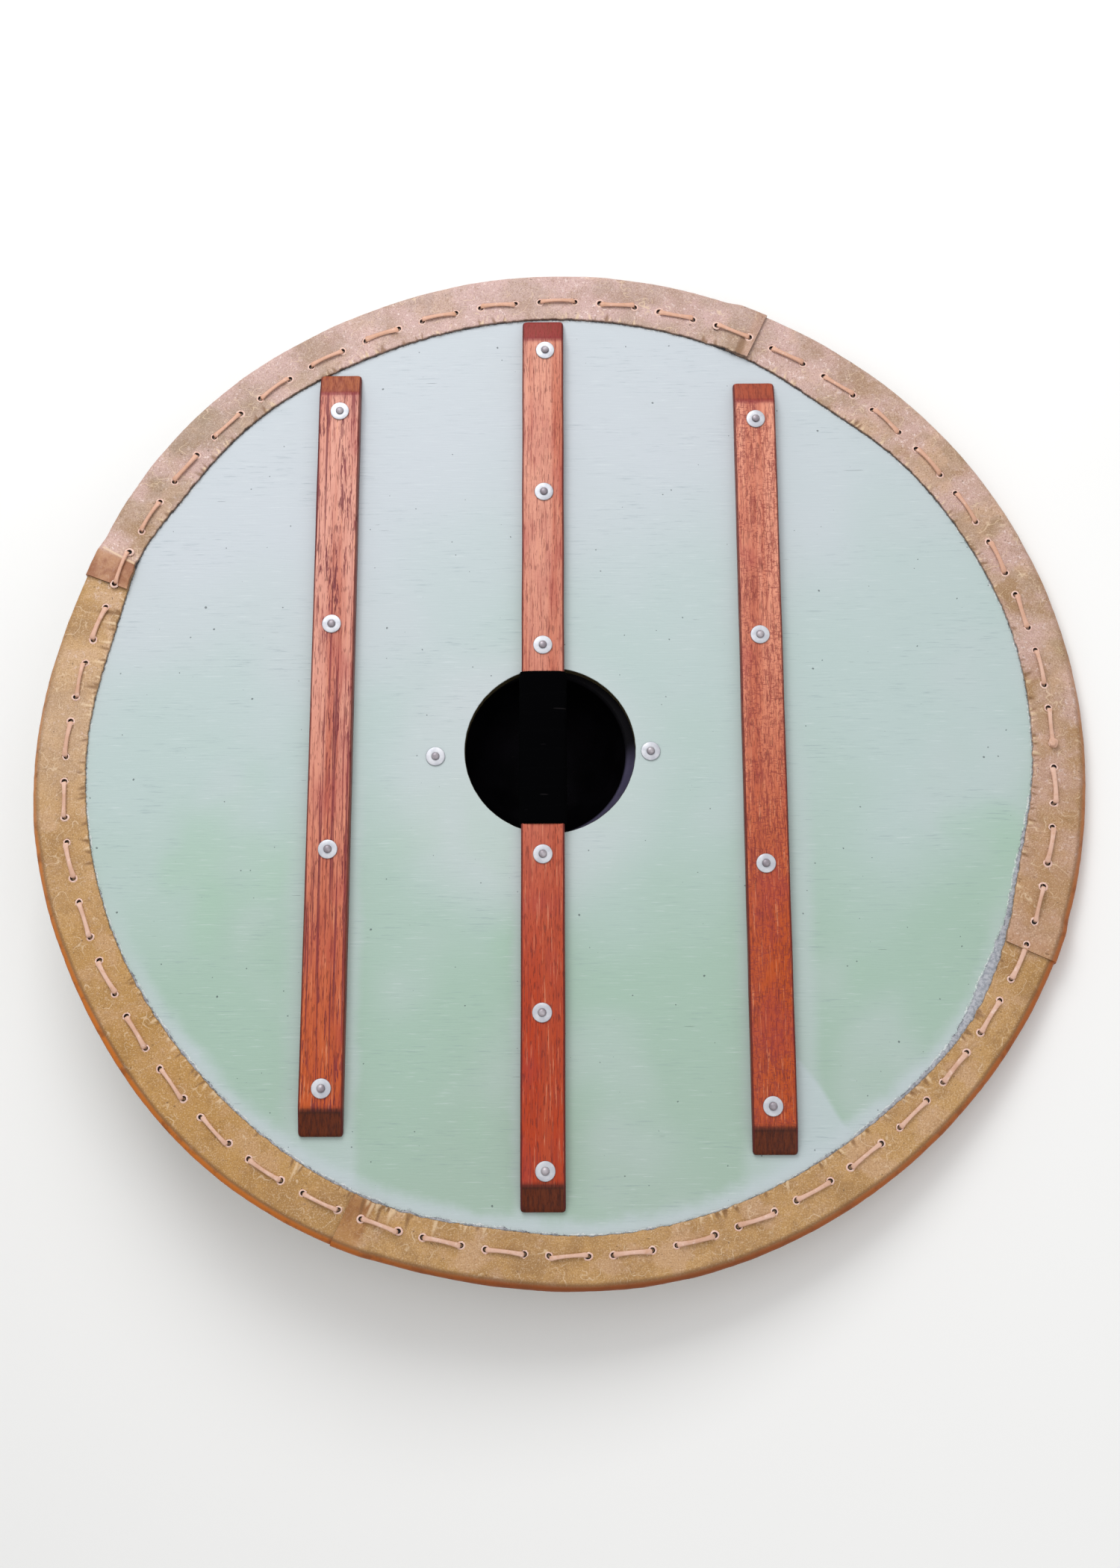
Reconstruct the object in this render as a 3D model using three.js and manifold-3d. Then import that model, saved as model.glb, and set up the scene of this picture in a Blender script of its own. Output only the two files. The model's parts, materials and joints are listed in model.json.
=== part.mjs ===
// A wooden round shield with an iron boss, seen and stored with its back upwards.
// A plywood board carries three riveted battens on its back. The middle one crosses the hand hole
// as the grip. Four folded leather strips, laced through the board, bind the edge.
// The shield lies as a loose shield does: on its boss and on one stretch of its rim, so it leans.
// Units are millimetres. In the shield's own frame +Z points out of the back of the board,
// +Y runs along the battens, and the back face of the board is at z = 0.

import * as THREE from "three";
import { mergeVertices } from "three/addons/utils/BufferGeometryUtils.js";
import Module from "manifold-3d";

// Driving dimensions of the board and of its leather edge
const SHIELD_RADIUS = 435; // to the outside of the leather
const BOARD_THICKNESS = 9;
const LEATHER_THICKNESS = 2.2;
const RIM_WIDTH = 43; // how far the leather reaches in from the edge, on both faces
const RIM_ROUNDING = 3; // how much the fold rounds the corners of the edge
const GAP = 0.3; // clearance between touching pieces

// Lacing
const STITCH_COUNT = 50;
const STITCH_LENGTH = 27.5; // the part of each stitch that shows on the back
const LACE_INSET = 26.5; // from the outside of the leather to the row of holes
const LACE_WIDTH = 3;
const LACE_THICKNESS = 1.7;
const FIRST_STITCH_DEGREES = 4.1;
const STITCH_DRIFT = { degrees: 1.4, towards: 205 }; // the spacing was judged by eye
const KNOT_RADIUS = 3.4; // the knot sits at the lower hole of the first stitch

// Hand hole and boss
const HAND_HOLE_RADIUS = 70.7;
const HAND_HOLE_STEP = [5.8, 1.2]; // from the boss's centre to the hole's
const BOSS_CENTRE_Y = 1;
const BOSS_OPENING_RADIUS = 68.3;
const BOSS_RIVET_ROOM = 12.6; // from the hand hole's edge to the circle of the boss rivets
const BOSS_FLANGE_EDGE = 14.8; // from that circle to the flange's edge
const BOSS_THICKNESS = 2;
const BOSS_NECK_HEIGHT = 15; // from the board to where the dome starts
const BOSS_NECK_TAPER = 2; // how much narrower the neck is at the dome
const BOSS_DOME_HEIGHT = 46;
const SIDE_RIVET_DROP = { left: 4, right: 0.5 }; // how far the two side rivets sit below the boss's centre

// Battens
const BATTEN_WIDTH = 35.5;
const BATTEN_THICKNESS = 10;
const BATTEN_TOE = 2.4; // thickness left at the thin end of the bevel
const BATTEN_BEVEL = 21;
const BATTEN_EDGE = 1.6; // bevel along the two long edges
const GRIP_X = -12.3;
const LEFT_BATTEN_X = -188;
const RIGHT_BATTEN_X = 170.2;
// Room left between a batten's end and the leather. It is negative where the batten lies on the leather.
const LEFT_TOP_ROOM = -6.5;
const LEFT_BOTTOM_ROOM = 20;
const GRIP_TOP_ROOM = 0.8;
const GRIP_BOTTOM_ROOM = 18.5;
const RIGHT_TOP_ROOM = 14;
const RIGHT_BOTTOM_ROOM = 15.3;

// Black binding round the grip
const WRAP_THICKNESS = 2;
const WRAP_ROOM = 0.7; // from the wrap's ends to the hole's edge
const WRAP_CHAMFER = 1.5;

// Rivets and washers
const RIVET_SHANK_RADIUS = 2.4;
const RIVET_TAIL_RADIUS = 3.3;
const RIVET_TAIL_HEIGHT = 2.4;
const RIVET_HEAD_RADIUS = 6.5;
const RIVET_HEAD_HEIGHT = 3;
const WASHER_RADIUS = 8;
const WASHER_THICKNESS = 1.2;
const END_RIVET = 37; // from a side batten's end to its last rivet
const GRIP_END_RIVET = 31; // the same on the grip's batten
const GRIP_SPAN_RIVET = 0.51; // share of the way from a boss rivet to the end rivet

// The board was sawn by hand: where its edge leaves the circle, in degrees and millimetres
const EDGE_FEATURES = [
  { angle: 92, out: 1.1, spread: 15 },
  { angle: 132, out: 2.2, spread: 9 },
  { angle: 162, out: -4.8, spread: 9 },
  { angle: 192, out: 1.6, spread: 8 },
  { angle: 229, out: 3, spread: 11 },
  { angle: 261, out: -4, spread: 10 },
  { angle: 338, out: 1.7, spread: 9 },
];

// Strips of leather, anticlockwise from the right. A lifted end lies over the end of its neighbour.
const LAP_DEGREES = 3;
const LAP_RISE_DEGREES = 1;
const SEAM = { topRight: 65, topLeft: 158.5, bottomLeft: 245.8, bottomRight: 336 };
const RIM_STRIPS = [
  { name: "rim_strip_top", from: SEAM.topRight, to: SEAM.topLeft, liftFrom: true, liftTo: true },
  { name: "rim_strip_left", from: SEAM.topLeft, to: SEAM.bottomLeft, liftFrom: false, liftTo: false },
  { name: "rim_strip_bottom", from: SEAM.bottomLeft, to: SEAM.bottomRight, liftFrom: true, liftTo: false },
  { name: "rim_strip_right", from: SEAM.bottomRight, to: SEAM.topRight + 360, liftFrom: true, liftTo: false },
];

// The flat spots that the boss and the leather have where they rest
const REST_FLAT = 0.7;

// Facets
const BOARD_FACETS = 72;
const STATION_DEGREES = 7.5;
const HOLE_FACETS = 36;
const BOSS_FACETS = 28;
const DOME_STEPS = 4;
const RIVET_FACETS = 6;
const WASHER_FACETS = 8;

// Where the inner edge of the leather leaves its circle
const TRIM_FEATURES = [
  { angle: 16, out: 2.5, spread: 8 },
  { angle: 53, out: -6.5, spread: 7 },
  { angle: 98, out: 1.5, spread: 12 },
  { angle: 130, out: 5, spread: 9 },
  { angle: 153, out: 4.5, spread: 4 },
  { angle: 166, out: -3.5, spread: 6 },
  { angle: 222, out: -2.5, spread: 10 },
  { angle: 263, out: -4, spread: 6 },
  { angle: 326, out: 6.5, spread: 8 },
  { angle: 346, out: -4.5, spread: 6 },
];

const radians = THREE.MathUtils.degToRad;
// The leather's facets cut a little inside its curve, so the board stays clear of them by that much
const FACET_SAG = 1.2 * SHIELD_RADIUS * (1 - Math.cos(radians(STATION_DEGREES / 2)));
const BOARD_EDGE_INSET = LEATHER_THICKNESS + GAP + FACET_SAG;
const LACE_GAP = GAP + 0.1;
const HOLE_X = GRIP_X + HAND_HOLE_STEP[0];
const HOLE_Y = BOSS_CENTRE_Y + HAND_HOLE_STEP[1];
const LEATHER_BACK = GAP + LEATHER_THICKNESS;
const LEATHER_FRONT = -BOARD_THICKNESS - GAP - LEATHER_THICKNESS;
const BATTEN_BACK = GAP + BATTEN_THICKNESS;
const FLANGE_BACK = -BOARD_THICKNESS - GAP;
const BOSS_RIVET_CIRCLE = HAND_HOLE_RADIUS + Math.hypot(...HAND_HOLE_STEP) + BOSS_RIVET_ROOM;
const BOSS_FLANGE_RADIUS = BOSS_RIVET_CIRCLE + BOSS_FLANGE_EDGE;

const wasm = await Module();
wasm.setup();

const COLOURS = {
  paint: { color: 0xb9d0c6, roughness: 0.6, metalness: 0 },
  redwood: { color: 0x9a4a34, roughness: 0.5, metalness: 0 },
  rawhide: { color: 0xb08a5c, roughness: 0.55, metalness: 0 },
  lace: { color: 0xd9a88c, roughness: 0.6, metalness: 0 },
  iron: { color: 0x1b1a1c, roughness: 0.5, metalness: 0.6 },
  zinc: { color: 0xc9cbce, roughness: 0.3, metalness: 1 },
  binding: { color: 0x0c0c0d, roughness: 0.7, metalness: 0 },
};
const materials = Object.fromEntries(
  Object.entries(COLOURS).map(([name, values]) => [name, new THREE.MeshStandardMaterial(values)]),
);

// How far a hand-cut edge stands out of its circle at an angle in degrees
function outOfRound(features, angle) {
  return features.reduce((sum, feature) => {
    const away = THREE.MathUtils.euclideanModulo(angle - feature.angle + 180, 360) - 180;
    return sum + feature.out * Math.exp(-((away / feature.spread) ** 2) / 2);
  }, 0);
}

function polar(radius, angle, z) {
  return new THREE.Vector3(radius * Math.cos(radians(angle)), radius * Math.sin(radians(angle)), z);
}

function merged(geometry) {
  geometry.deleteAttribute("normal");
  geometry.deleteAttribute("uv");
  return mergeVertices(geometry, 1e-4);
}

function toSolid(geometry) {
  const clean = merged(geometry);
  return new wasm.Manifold(
    new wasm.Mesh({
      numProp: 3,
      vertProperties: clean.attributes.position.array,
      triVerts: new Uint32Array(clean.index.array),
    }),
  );
}

function toGeometry(solid) {
  const mesh = solid.getMesh();
  const geometry = new THREE.BufferGeometry();
  geometry.setAttribute("position", new THREE.BufferAttribute(mesh.vertProperties, 3));
  geometry.setIndex(new THREE.BufferAttribute(mesh.triVerts, 1));
  return geometry;
}

function cutAll(geometry, cutters) {
  return toGeometry(cutters.reduce((solid, cutter) => solid.subtract(toSolid(cutter)), toSolid(geometry)));
}

// Rings of points joined into a skin: a closed loop, or a bar whose ends take the flat section given
function skin(rings, endSection) {
  const perRing = rings[0].length;
  const index = [];
  const joins = endSection ? rings.length - 1 : rings.length;
  for (let i = 0; i < joins; i++) {
    const here = i * perRing;
    const there = ((i + 1) % rings.length) * perRing;
    for (let j = 0; j < perRing; j++) {
      const k = (j + 1) % perRing;
      index.push(here + j, there + j, there + k, here + j, there + k, here + k);
    }
  }
  if (endSection) {
    const last = (rings.length - 1) * perRing;
    for (const [a, b, c] of THREE.ShapeUtils.triangulateShape(endSection, [])) {
      index.push(a, b, c, last + a, last + c, last + b);
    }
  }
  const geometry = new THREE.BufferGeometry().setFromPoints(rings.flat());
  geometry.setIndex(index);
  return geometry;
}

function circlePath(x, y, radius, facets) {
  const points = Array.from({ length: facets }, (_, i) => {
    const turn = (2 * Math.PI * i) / facets;
    return new THREE.Vector2(x + radius * Math.cos(turn), y + radius * Math.sin(turn));
  });
  return new THREE.Path(points);
}

function extrude(shape, depth) {
  return new THREE.ExtrudeGeometry(shape, { depth, bevelEnabled: false, steps: 1 });
}

function cylinder(x, y, radius, low, high, facets) {
  return extrude(new THREE.Shape(circlePath(x, y, radius, facets).getPoints()), high - low).translate(0, 0, low);
}

// A solid of revolution about Z, from pairs of radius and height going up the outside
function turned(profile, facets) {
  const points = profile.map(([radius, height]) => new THREE.Vector2(radius, height));
  return new THREE.LatheGeometry(points, facets).rotateX(Math.PI / 2);
}

const shield = new THREE.Group();

function addPiece(name, geometry, material) {
  const mesh = new THREE.Mesh(geometry, materials[material]);
  mesh.name = name;
  shield.add(mesh);
  return mesh;
}

// Battens: where each one lies, and its rivets as [height up the shield, step to the side]
const RIM_INNER_RADIUS = SHIELD_RADIUS - RIM_WIDTH;

function battenEnd(x, room) {
  const corner = Math.abs(x) + BATTEN_WIDTH / 2;
  return Math.sqrt(RIM_INNER_RADIUS ** 2 - corner ** 2) - room;
}

function describeBatten(name, x, topRoom, bottomRoom, inner) {
  const top = battenEnd(x, topRoom);
  const bottom = -battenEnd(x, bottomRoom);
  return { name, x, top, bottom, rivets: inner(top, bottom) };
}

const BOSS_X = GRIP_X;

// Four rivets at even steps, each a little to one side of the middle line
function evenRivets(sideSteps) {
  return (top, bottom) => {
    const high = top - END_RIVET;
    const low = bottom + END_RIVET;
    return sideSteps.map((step, i) => [THREE.MathUtils.lerp(high, low, i / (sideSteps.length - 1)), step]);
  };
}

function gripRivets(top, bottom) {
  const high = BOSS_CENTRE_Y + BOSS_RIVET_CIRCLE;
  const low = BOSS_CENTRE_Y - BOSS_RIVET_CIRCLE;
  const endHigh = top - GRIP_END_RIVET;
  const endLow = bottom + GRIP_END_RIVET;
  return [
    [endHigh, 2],
    [THREE.MathUtils.lerp(high, endHigh, GRIP_SPAN_RIVET), 1],
    [high, 0],
    [low, 0],
    [THREE.MathUtils.lerp(low, endLow, GRIP_SPAN_RIVET), -0.5],
    [endLow, 2],
  ];
}

const leftBatten = describeBatten(
  "batten_left", LEFT_BATTEN_X, LEFT_TOP_ROOM, LEFT_BOTTOM_ROOM, evenRivets([0.5, -1.5, 0.5, 0.5]));
const gripBatten = describeBatten(
  "batten_grip", GRIP_X, GRIP_TOP_ROOM, GRIP_BOTTOM_ROOM, gripRivets);
const rightBatten = describeBatten(
  "batten_right", RIGHT_BATTEN_X, RIGHT_TOP_ROOM, RIGHT_BOTTOM_ROOM, evenRivets([0.5, -1, -1.5, -1.5]));
const battens = [leftBatten, gripBatten, rightBatten];

// Every rivet: the faces that its head and its washer press on
const BOARD_FRONT = -BOARD_THICKNESS;
const FLANGE_FRONT = FLANGE_BACK - BOSS_THICKNESS;

function battenRivets({ name, x, rivets }) {
  return rivets.map(([y, step], i) => {
    const holdsBoss = Math.hypot(x + step - BOSS_X, y - BOSS_CENTRE_Y) < BOSS_FLANGE_RADIUS;
    const front = holdsBoss ? FLANGE_FRONT : BOARD_FRONT;
    return { name: name.replace("batten_", "") + "_" + (i + 1), x: x + step, y, front, back: BATTEN_BACK };
  });
}

function sideRivet(name, side, drop) {
  return { name, x: BOSS_X + side * BOSS_RIVET_CIRCLE, y: BOSS_CENTRE_Y - drop, front: FLANGE_FRONT, back: 0 };
}

const sideRivets = [
  sideRivet("boss_left", -1, SIDE_RIVET_DROP.left),
  sideRivet("boss_right", 1, SIDE_RIVET_DROP.right),
];
const rivets = [...battens.flatMap(battenRivets), ...sideRivets];

// A hole that clears a shank whichever way the facets of the two are turned
const RIVET_HOLE_RADIUS = (RIVET_SHANK_RADIUS + GAP) / Math.cos(Math.PI / RIVET_FACETS);

function rivetHoles(low, high) {
  return rivets.map(({ x, y }) => cylinder(x, y, RIVET_HOLE_RADIUS, low, high, RIVET_FACETS));
}

function addRivet({ name, x, y, front, back }) {
  const headBase = front - GAP;
  const washerBack = back + GAP + WASHER_THICKNESS;
  const tailBase = washerBack + GAP;
  const profile = [
    [0, headBase - RIVET_HEAD_HEIGHT],
    [0.65 * RIVET_HEAD_RADIUS, headBase - 0.7 * RIVET_HEAD_HEIGHT],
    [RIVET_HEAD_RADIUS, headBase],
    [RIVET_SHANK_RADIUS, headBase],
    [RIVET_SHANK_RADIUS, tailBase],
    [RIVET_TAIL_RADIUS, tailBase],
    [0, tailBase + RIVET_TAIL_HEIGHT],
  ];
  addPiece("rivet_" + name, turned(profile, RIVET_FACETS), "zinc").position.set(x, y, 0);

  const disc = new THREE.Shape(circlePath(0, 0, WASHER_RADIUS, WASHER_FACETS).getPoints());
  disc.holes.push(circlePath(0, 0, RIVET_HOLE_RADIUS, RIVET_FACETS));
  addPiece("washer_" + name, merged(extrude(disc, WASHER_THICKNESS)), "zinc").position.set(x, y, back + GAP);
}

// The stitches: each shows on the back between its two holes, and the lace runs on along the front
function rimRadius(angle) {
  return SHIELD_RADIUS + outOfRound(EDGE_FEATURES, angle);
}

function laceRadius(angle) {
  return rimRadius(angle) - LACE_INSET;
}

const LIFT = LEATHER_THICKNESS + GAP; // the upper layer of a lap lies this much higher

// The share of the full lift that a strip has at an angle
function liftShare({ from, to, liftFrom, liftTo }, angle) {
  const fall = (past) => THREE.MathUtils.clamp(1 - (past - LAP_DEGREES) / LAP_RISE_DEGREES, 0, 1);
  const atFrom = liftFrom && angle >= from ? fall(angle - from) : 0;
  const atTo = liftTo && angle <= to ? fall(to - angle) : 0;
  return Math.max(atFrom, atTo);
}

// The lift of the topmost leather anywhere under one stitch
function liftUnder(from, to) {
  const samples = [0, 0.25, 0.5, 0.75, 1].map((share) => THREE.MathUtils.lerp(from, to, share));
  const shares = samples.flatMap((angle) =>
    RIM_STRIPS.flatMap((strip) => [0, 360].map((turn) => {
      const at = THREE.MathUtils.euclideanModulo(angle, 360) + turn;
      return at >= strip.from && at <= strip.to ? liftShare(strip, at) : 0;
    })),
  );
  return LIFT * Math.ceil(Math.max(...shares));
}

const stitches = Array.from({ length: STITCH_COUNT }, (_, i) => {
  const even = FIRST_STITCH_DEGREES + (360 * i) / STITCH_COUNT;
  const centre = even + STITCH_DRIFT.degrees * Math.cos(radians(even - STITCH_DRIFT.towards));
  const half = THREE.MathUtils.radToDeg(STITCH_LENGTH / 2 / laceRadius(centre));
  return { from: centre - half, to: centre + half };
});

// Points across the lace at one bend. side is the way along the rim from the hole to its stitch.
function laceBend(angle, side, level, isBack) {
  const radius = laceRadius(angle);
  const along = THREE.MathUtils.radToDeg(LACE_THICKNESS / radius);
  const flatZ = isBack ? level : level - LACE_THICKNESS;
  const ridgeZ = isBack ? level + LACE_THICKNESS : level;
  return [
    polar(radius - LACE_WIDTH / 2, angle, flatZ),
    polar(radius + LACE_WIDTH / 2, angle, flatZ),
    polar(radius, angle - side * along, ridgeZ),
  ];
}

function laceGeometry() {
  const rings = stitches.flatMap(({ from, to }, i) => {
    const before = stitches[(i + STITCH_COUNT - 1) % STITCH_COUNT];
    const after = stitches[(i + 1) % STITCH_COUNT];
    const back = LEATHER_BACK + LACE_GAP + liftUnder(from, to);
    const frontFrom = LEATHER_FRONT - LACE_GAP - liftUnder(before.to - (i ? 0 : 360), from);
    const frontTo = LEATHER_FRONT - LACE_GAP - liftUnder(to, after.from + (i < STITCH_COUNT - 1 ? 0 : 360));
    return [
      laceBend(from, 1, frontFrom, false),
      laceBend(from, 1, back, true),
      laceBend(to, -1, back, true),
      laceBend(to, -1, frontTo, false),
    ];
  });
  const knotAngle = stitches[0].from;
  const knotLevel = LEATHER_BACK + LACE_GAP + 0.9 * KNOT_RADIUS;
  const knot = new THREE.SphereGeometry(KNOT_RADIUS, 6, 4);
  const { x, y, z } = polar(laceRadius(knotAngle), knotAngle, knotLevel);
  return toGeometry(toSolid(skin(rings)).add(toSolid(knot.translate(x, y, z))));
}

// A hole follows the lace's three-sided section, and stands off it by the same room on each side
function laceHoleCorners(angle, side) {
  const radius = laceRadius(angle);
  const slant = Math.hypot(LACE_WIDTH / 2, LACE_THICKNESS);
  const inner = (LACE_WIDTH * LACE_THICKNESS) / (LACE_WIDTH + 2 * slant);
  const grow = (inner + LACE_GAP) / inner;
  const corners = [[-LACE_WIDTH / 2, 0], [LACE_WIDTH / 2, 0], [0, LACE_THICKNESS]].map(
    ([across, outward]) => [radius + across * grow, inner + (outward - inner) * grow]);
  const points = corners.map(([r, outward]) => {
    const turn = radians(angle) - (side * outward) / radius;
    return new THREE.Vector2(r * Math.cos(turn), r * Math.sin(turn));
  });
  return side > 0 ? points.reverse() : points;
}

const laceHoles = stitches.flatMap(({ from, to }) => [
  { angle: from, corners: laceHoleCorners(from, 1) },
  { angle: to, corners: laceHoleCorners(to, -1) },
]);

// The leather's folded section, open towards the middle of the shield
function rimSection(strip, angle) {
  const lift = LIFT * liftShare(strip, angle);
  const outer = rimRadius(angle) + lift;
  const inner = SHIELD_RADIUS - RIM_WIDTH + outOfRound(TRIM_FEATURES, angle);
  const back = LEATHER_BACK + lift;
  const front = LEATHER_FRONT - lift;
  return [
    [inner, front],
    [outer - RIM_ROUNDING, front],
    [outer, front + RIM_ROUNDING],
    [outer, back - RIM_ROUNDING],
    [outer - RIM_ROUNDING, back],
    [inner, back],
    [inner, back - LEATHER_THICKNESS],
    [outer - LEATHER_THICKNESS, back - LEATHER_THICKNESS],
    [outer - LEATHER_THICKNESS, front + LEATHER_THICKNESS],
    [inner, front + LEATHER_THICKNESS],
  ].map(([r, z]) => new THREE.Vector2(r, z));
}

function stripAngles({ from, to, liftFrom, liftTo }) {
  const start = liftFrom ? [from, from + LAP_DEGREES] : [from - LAP_DEGREES];
  const end = liftTo ? [to - LAP_DEGREES, to] : [to + LAP_DEGREES];
  const first = liftFrom ? from + LAP_DEGREES + LAP_RISE_DEGREES : from - LAP_DEGREES;
  const last = liftTo ? to - LAP_DEGREES - LAP_RISE_DEGREES : to + LAP_DEGREES;
  const steps = Math.max(1, Math.round((last - first) / STATION_DEGREES));
  const between = Array.from({ length: steps + 1 }, (_, i) => THREE.MathUtils.lerp(first, last, i / steps));
  return [...new Set([...start, ...between, ...end])];
}

// The leather is trimmed round a batten that lies over its edge
function battenNotches() {
  return battens.map(({ x, top, bottom }) => {
    const width = BATTEN_WIDTH + 2 * GAP;
    const length = top - bottom + 2 * GAP;
    return new THREE.BoxGeometry(width, length, 2 * BATTEN_BACK).translate(x, (top + bottom) / 2, BATTEN_BACK);
  });
}

function stripGeometry(strip) {
  const angles = stripAngles(strip);
  const sections = angles.map((angle) => rimSection(strip, angle));
  const rings = sections.map((section, i) => section.map(({ x, y }) => polar(x, angles[i], y)));
  const holes = laceHoles
    .filter(({ angle }) => [0, 360].some((turn) => {
      const at = THREE.MathUtils.euclideanModulo(angle, 360) + turn;
      return at > angles[0] - 1 && at < angles.at(-1) + 1;
    }))
    .map(({ corners }) => extrude(new THREE.Shape(corners), 4 * BOARD_THICKNESS).translate(0, 0, -2.5 * BOARD_THICKNESS));
  return cutAll(skin(rings, sections[0]), [...holes, ...battenNotches()]);
}

function boardGeometry() {
  const outline = Array.from({ length: BOARD_FACETS }, (_, i) => {
    const angle = (360 * i) / BOARD_FACETS;
    const { x, y } = polar(rimRadius(angle) - BOARD_EDGE_INSET, angle, 0);
    return new THREE.Vector2(x, y);
  });
  const shape = new THREE.Shape(outline);
  shape.holes.push(circlePath(HOLE_X, HOLE_Y, HAND_HOLE_RADIUS, HOLE_FACETS));
  shape.holes.push(...rivets.map(({ x, y }) => circlePath(x, y, RIVET_HOLE_RADIUS, RIVET_FACETS)));
  shape.holes.push(...laceHoles.map(({ corners }) => new THREE.Path(corners)));
  return merged(extrude(shape, BOARD_THICKNESS).translate(0, 0, -BOARD_THICKNESS));
}

// The boss: a flange, a short neck and a round dome, hammered from one sheet and open towards the board
function bossGeometry() {
  const neckTop = FLANGE_BACK - BOSS_NECK_HEIGHT;
  const shell = (offset) => {
    const domeEdge = BOSS_OPENING_RADIUS - BOSS_NECK_TAPER + offset;
    const height = BOSS_DOME_HEIGHT + offset;
    const sphere = (domeEdge ** 2 + height ** 2) / (2 * height);
    const sweep = Math.asin(domeEdge / sphere);
    return Array.from({ length: DOME_STEPS + 1 }, (_, i) => {
      const turn = (sweep * i) / DOME_STEPS;
      return [sphere * Math.sin(turn), neckTop - height + sphere * (1 - Math.cos(turn))];
    });
  };
  const profile = [
    ...shell(BOSS_THICKNESS),
    [BOSS_OPENING_RADIUS + BOSS_THICKNESS, FLANGE_FRONT],
    [BOSS_FLANGE_RADIUS, FLANGE_FRONT],
    [BOSS_FLANGE_RADIUS, FLANGE_BACK],
    [BOSS_OPENING_RADIUS, FLANGE_BACK],
    ...shell(0).reverse(),
  ];
  const boss = turned(profile, BOSS_FACETS).translate(BOSS_X, BOSS_CENTRE_Y, 0);
  return cutAll(boss, rivetHoles(FLANGE_FRONT - GAP, FLANGE_BACK + GAP));
}

// A batten: both ends slope down to a thin toe, and the two long edges of its face are taken off
function battenGeometry({ x, top, bottom }) {
  const side = new THREE.Shape([
    new THREE.Vector2(bottom, GAP),
    new THREE.Vector2(top, GAP),
    new THREE.Vector2(top, GAP + BATTEN_TOE),
    new THREE.Vector2(top - BATTEN_BEVEL, BATTEN_BACK),
    new THREE.Vector2(bottom + BATTEN_BEVEL, BATTEN_BACK),
    new THREE.Vector2(bottom, GAP + BATTEN_TOE),
  ]);
  const half = BATTEN_WIDTH / 2;
  const section = new THREE.Shape([
    new THREE.Vector2(-half, GAP - 1),
    new THREE.Vector2(half, GAP - 1),
    new THREE.Vector2(half, BATTEN_BACK - BATTEN_EDGE),
    new THREE.Vector2(half - BATTEN_EDGE, BATTEN_BACK),
    new THREE.Vector2(BATTEN_EDGE - half, BATTEN_BACK),
    new THREE.Vector2(-half, BATTEN_BACK - BATTEN_EDGE),
  ]);
  const length = extrude(side, BATTEN_WIDTH + 2).rotateY(Math.PI / 2).rotateX(Math.PI / 2);
  const bar = toSolid(length.translate(x - half - 1, 0, 0));
  const trim = toSolid(extrude(section, top - bottom + 2).rotateX(Math.PI / 2).translate(x, top + 1, 0));
  return cutAll(toGeometry(bar.intersect(trim)), rivetHoles(0, BATTEN_BACK + GAP));
}

// The binding: a close sleeve round the grip, as long as the hand hole lets it be
function wrapGeometry() {
  const half = BATTEN_WIDTH / 2 + GAP;
  const outerHalf = half + WRAP_THICKNESS;
  const low = 0;
  const high = BATTEN_BACK + GAP;
  const outline = new THREE.Shape([
    new THREE.Vector2(-outerHalf + WRAP_CHAMFER, low - WRAP_THICKNESS),
    new THREE.Vector2(outerHalf - WRAP_CHAMFER, low - WRAP_THICKNESS),
    new THREE.Vector2(outerHalf, low - WRAP_THICKNESS + WRAP_CHAMFER),
    new THREE.Vector2(outerHalf, high + WRAP_THICKNESS - WRAP_CHAMFER),
    new THREE.Vector2(outerHalf - WRAP_CHAMFER, high + WRAP_THICKNESS),
    new THREE.Vector2(-outerHalf + WRAP_CHAMFER, high + WRAP_THICKNESS),
    new THREE.Vector2(-outerHalf, high + WRAP_THICKNESS - WRAP_CHAMFER),
    new THREE.Vector2(-outerHalf, low - WRAP_THICKNESS + WRAP_CHAMFER),
  ]);
  outline.holes.push(new THREE.Path([
    new THREE.Vector2(-half, low),
    new THREE.Vector2(-half, high),
    new THREE.Vector2(half, high),
    new THREE.Vector2(half, low),
  ]));
  const farthest = Math.abs(GRIP_X - HOLE_X) + outerHalf;
  const reach = Math.sqrt(HAND_HOLE_RADIUS ** 2 - farthest ** 2) - WRAP_ROOM;
  return merged(extrude(outline, 2 * reach).rotateX(Math.PI / 2).translate(GRIP_X, HOLE_Y + reach, 0));
}

// How the shield rests. It is heavier to the right of its boss, so it leans until its right edge is down.
function lowestAt(geometries, lean) {
  const down = new THREE.Vector3(-Math.sin(lean), 0, Math.cos(lean));
  const point = new THREE.Vector3();
  return Math.min(...geometries.flatMap(({ attributes: { position } }) =>
    Array.from({ length: position.count }, (_, i) => point.fromBufferAttribute(position, i).dot(down))));
}

function findLean(boss, strips) {
  let [low, high] = [0, Math.PI / 6];
  while (high - low > 1e-7) {
    const middle = (low + high) / 2;
    if (lowestAt(strips, middle) > lowestAt([boss], middle)) low = middle;
    else high = middle;
  }
  return low;
}

const strips = RIM_STRIPS.map(stripGeometry);
const boss = bossGeometry();
const lean = findLean(boss, strips);
const floorLevel = lowestAt([boss], lean) + REST_FLAT;

// What is worn off where the shield rests: everything below the floor
function wornFlat(geometry) {
  const size = 4 * SHIELD_RADIUS;
  const ground = new THREE.BoxGeometry(size, size, size).translate(0, 0, floorLevel - size / 2);
  return cutAll(geometry, [ground.rotateY(-lean)]);
}

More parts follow.
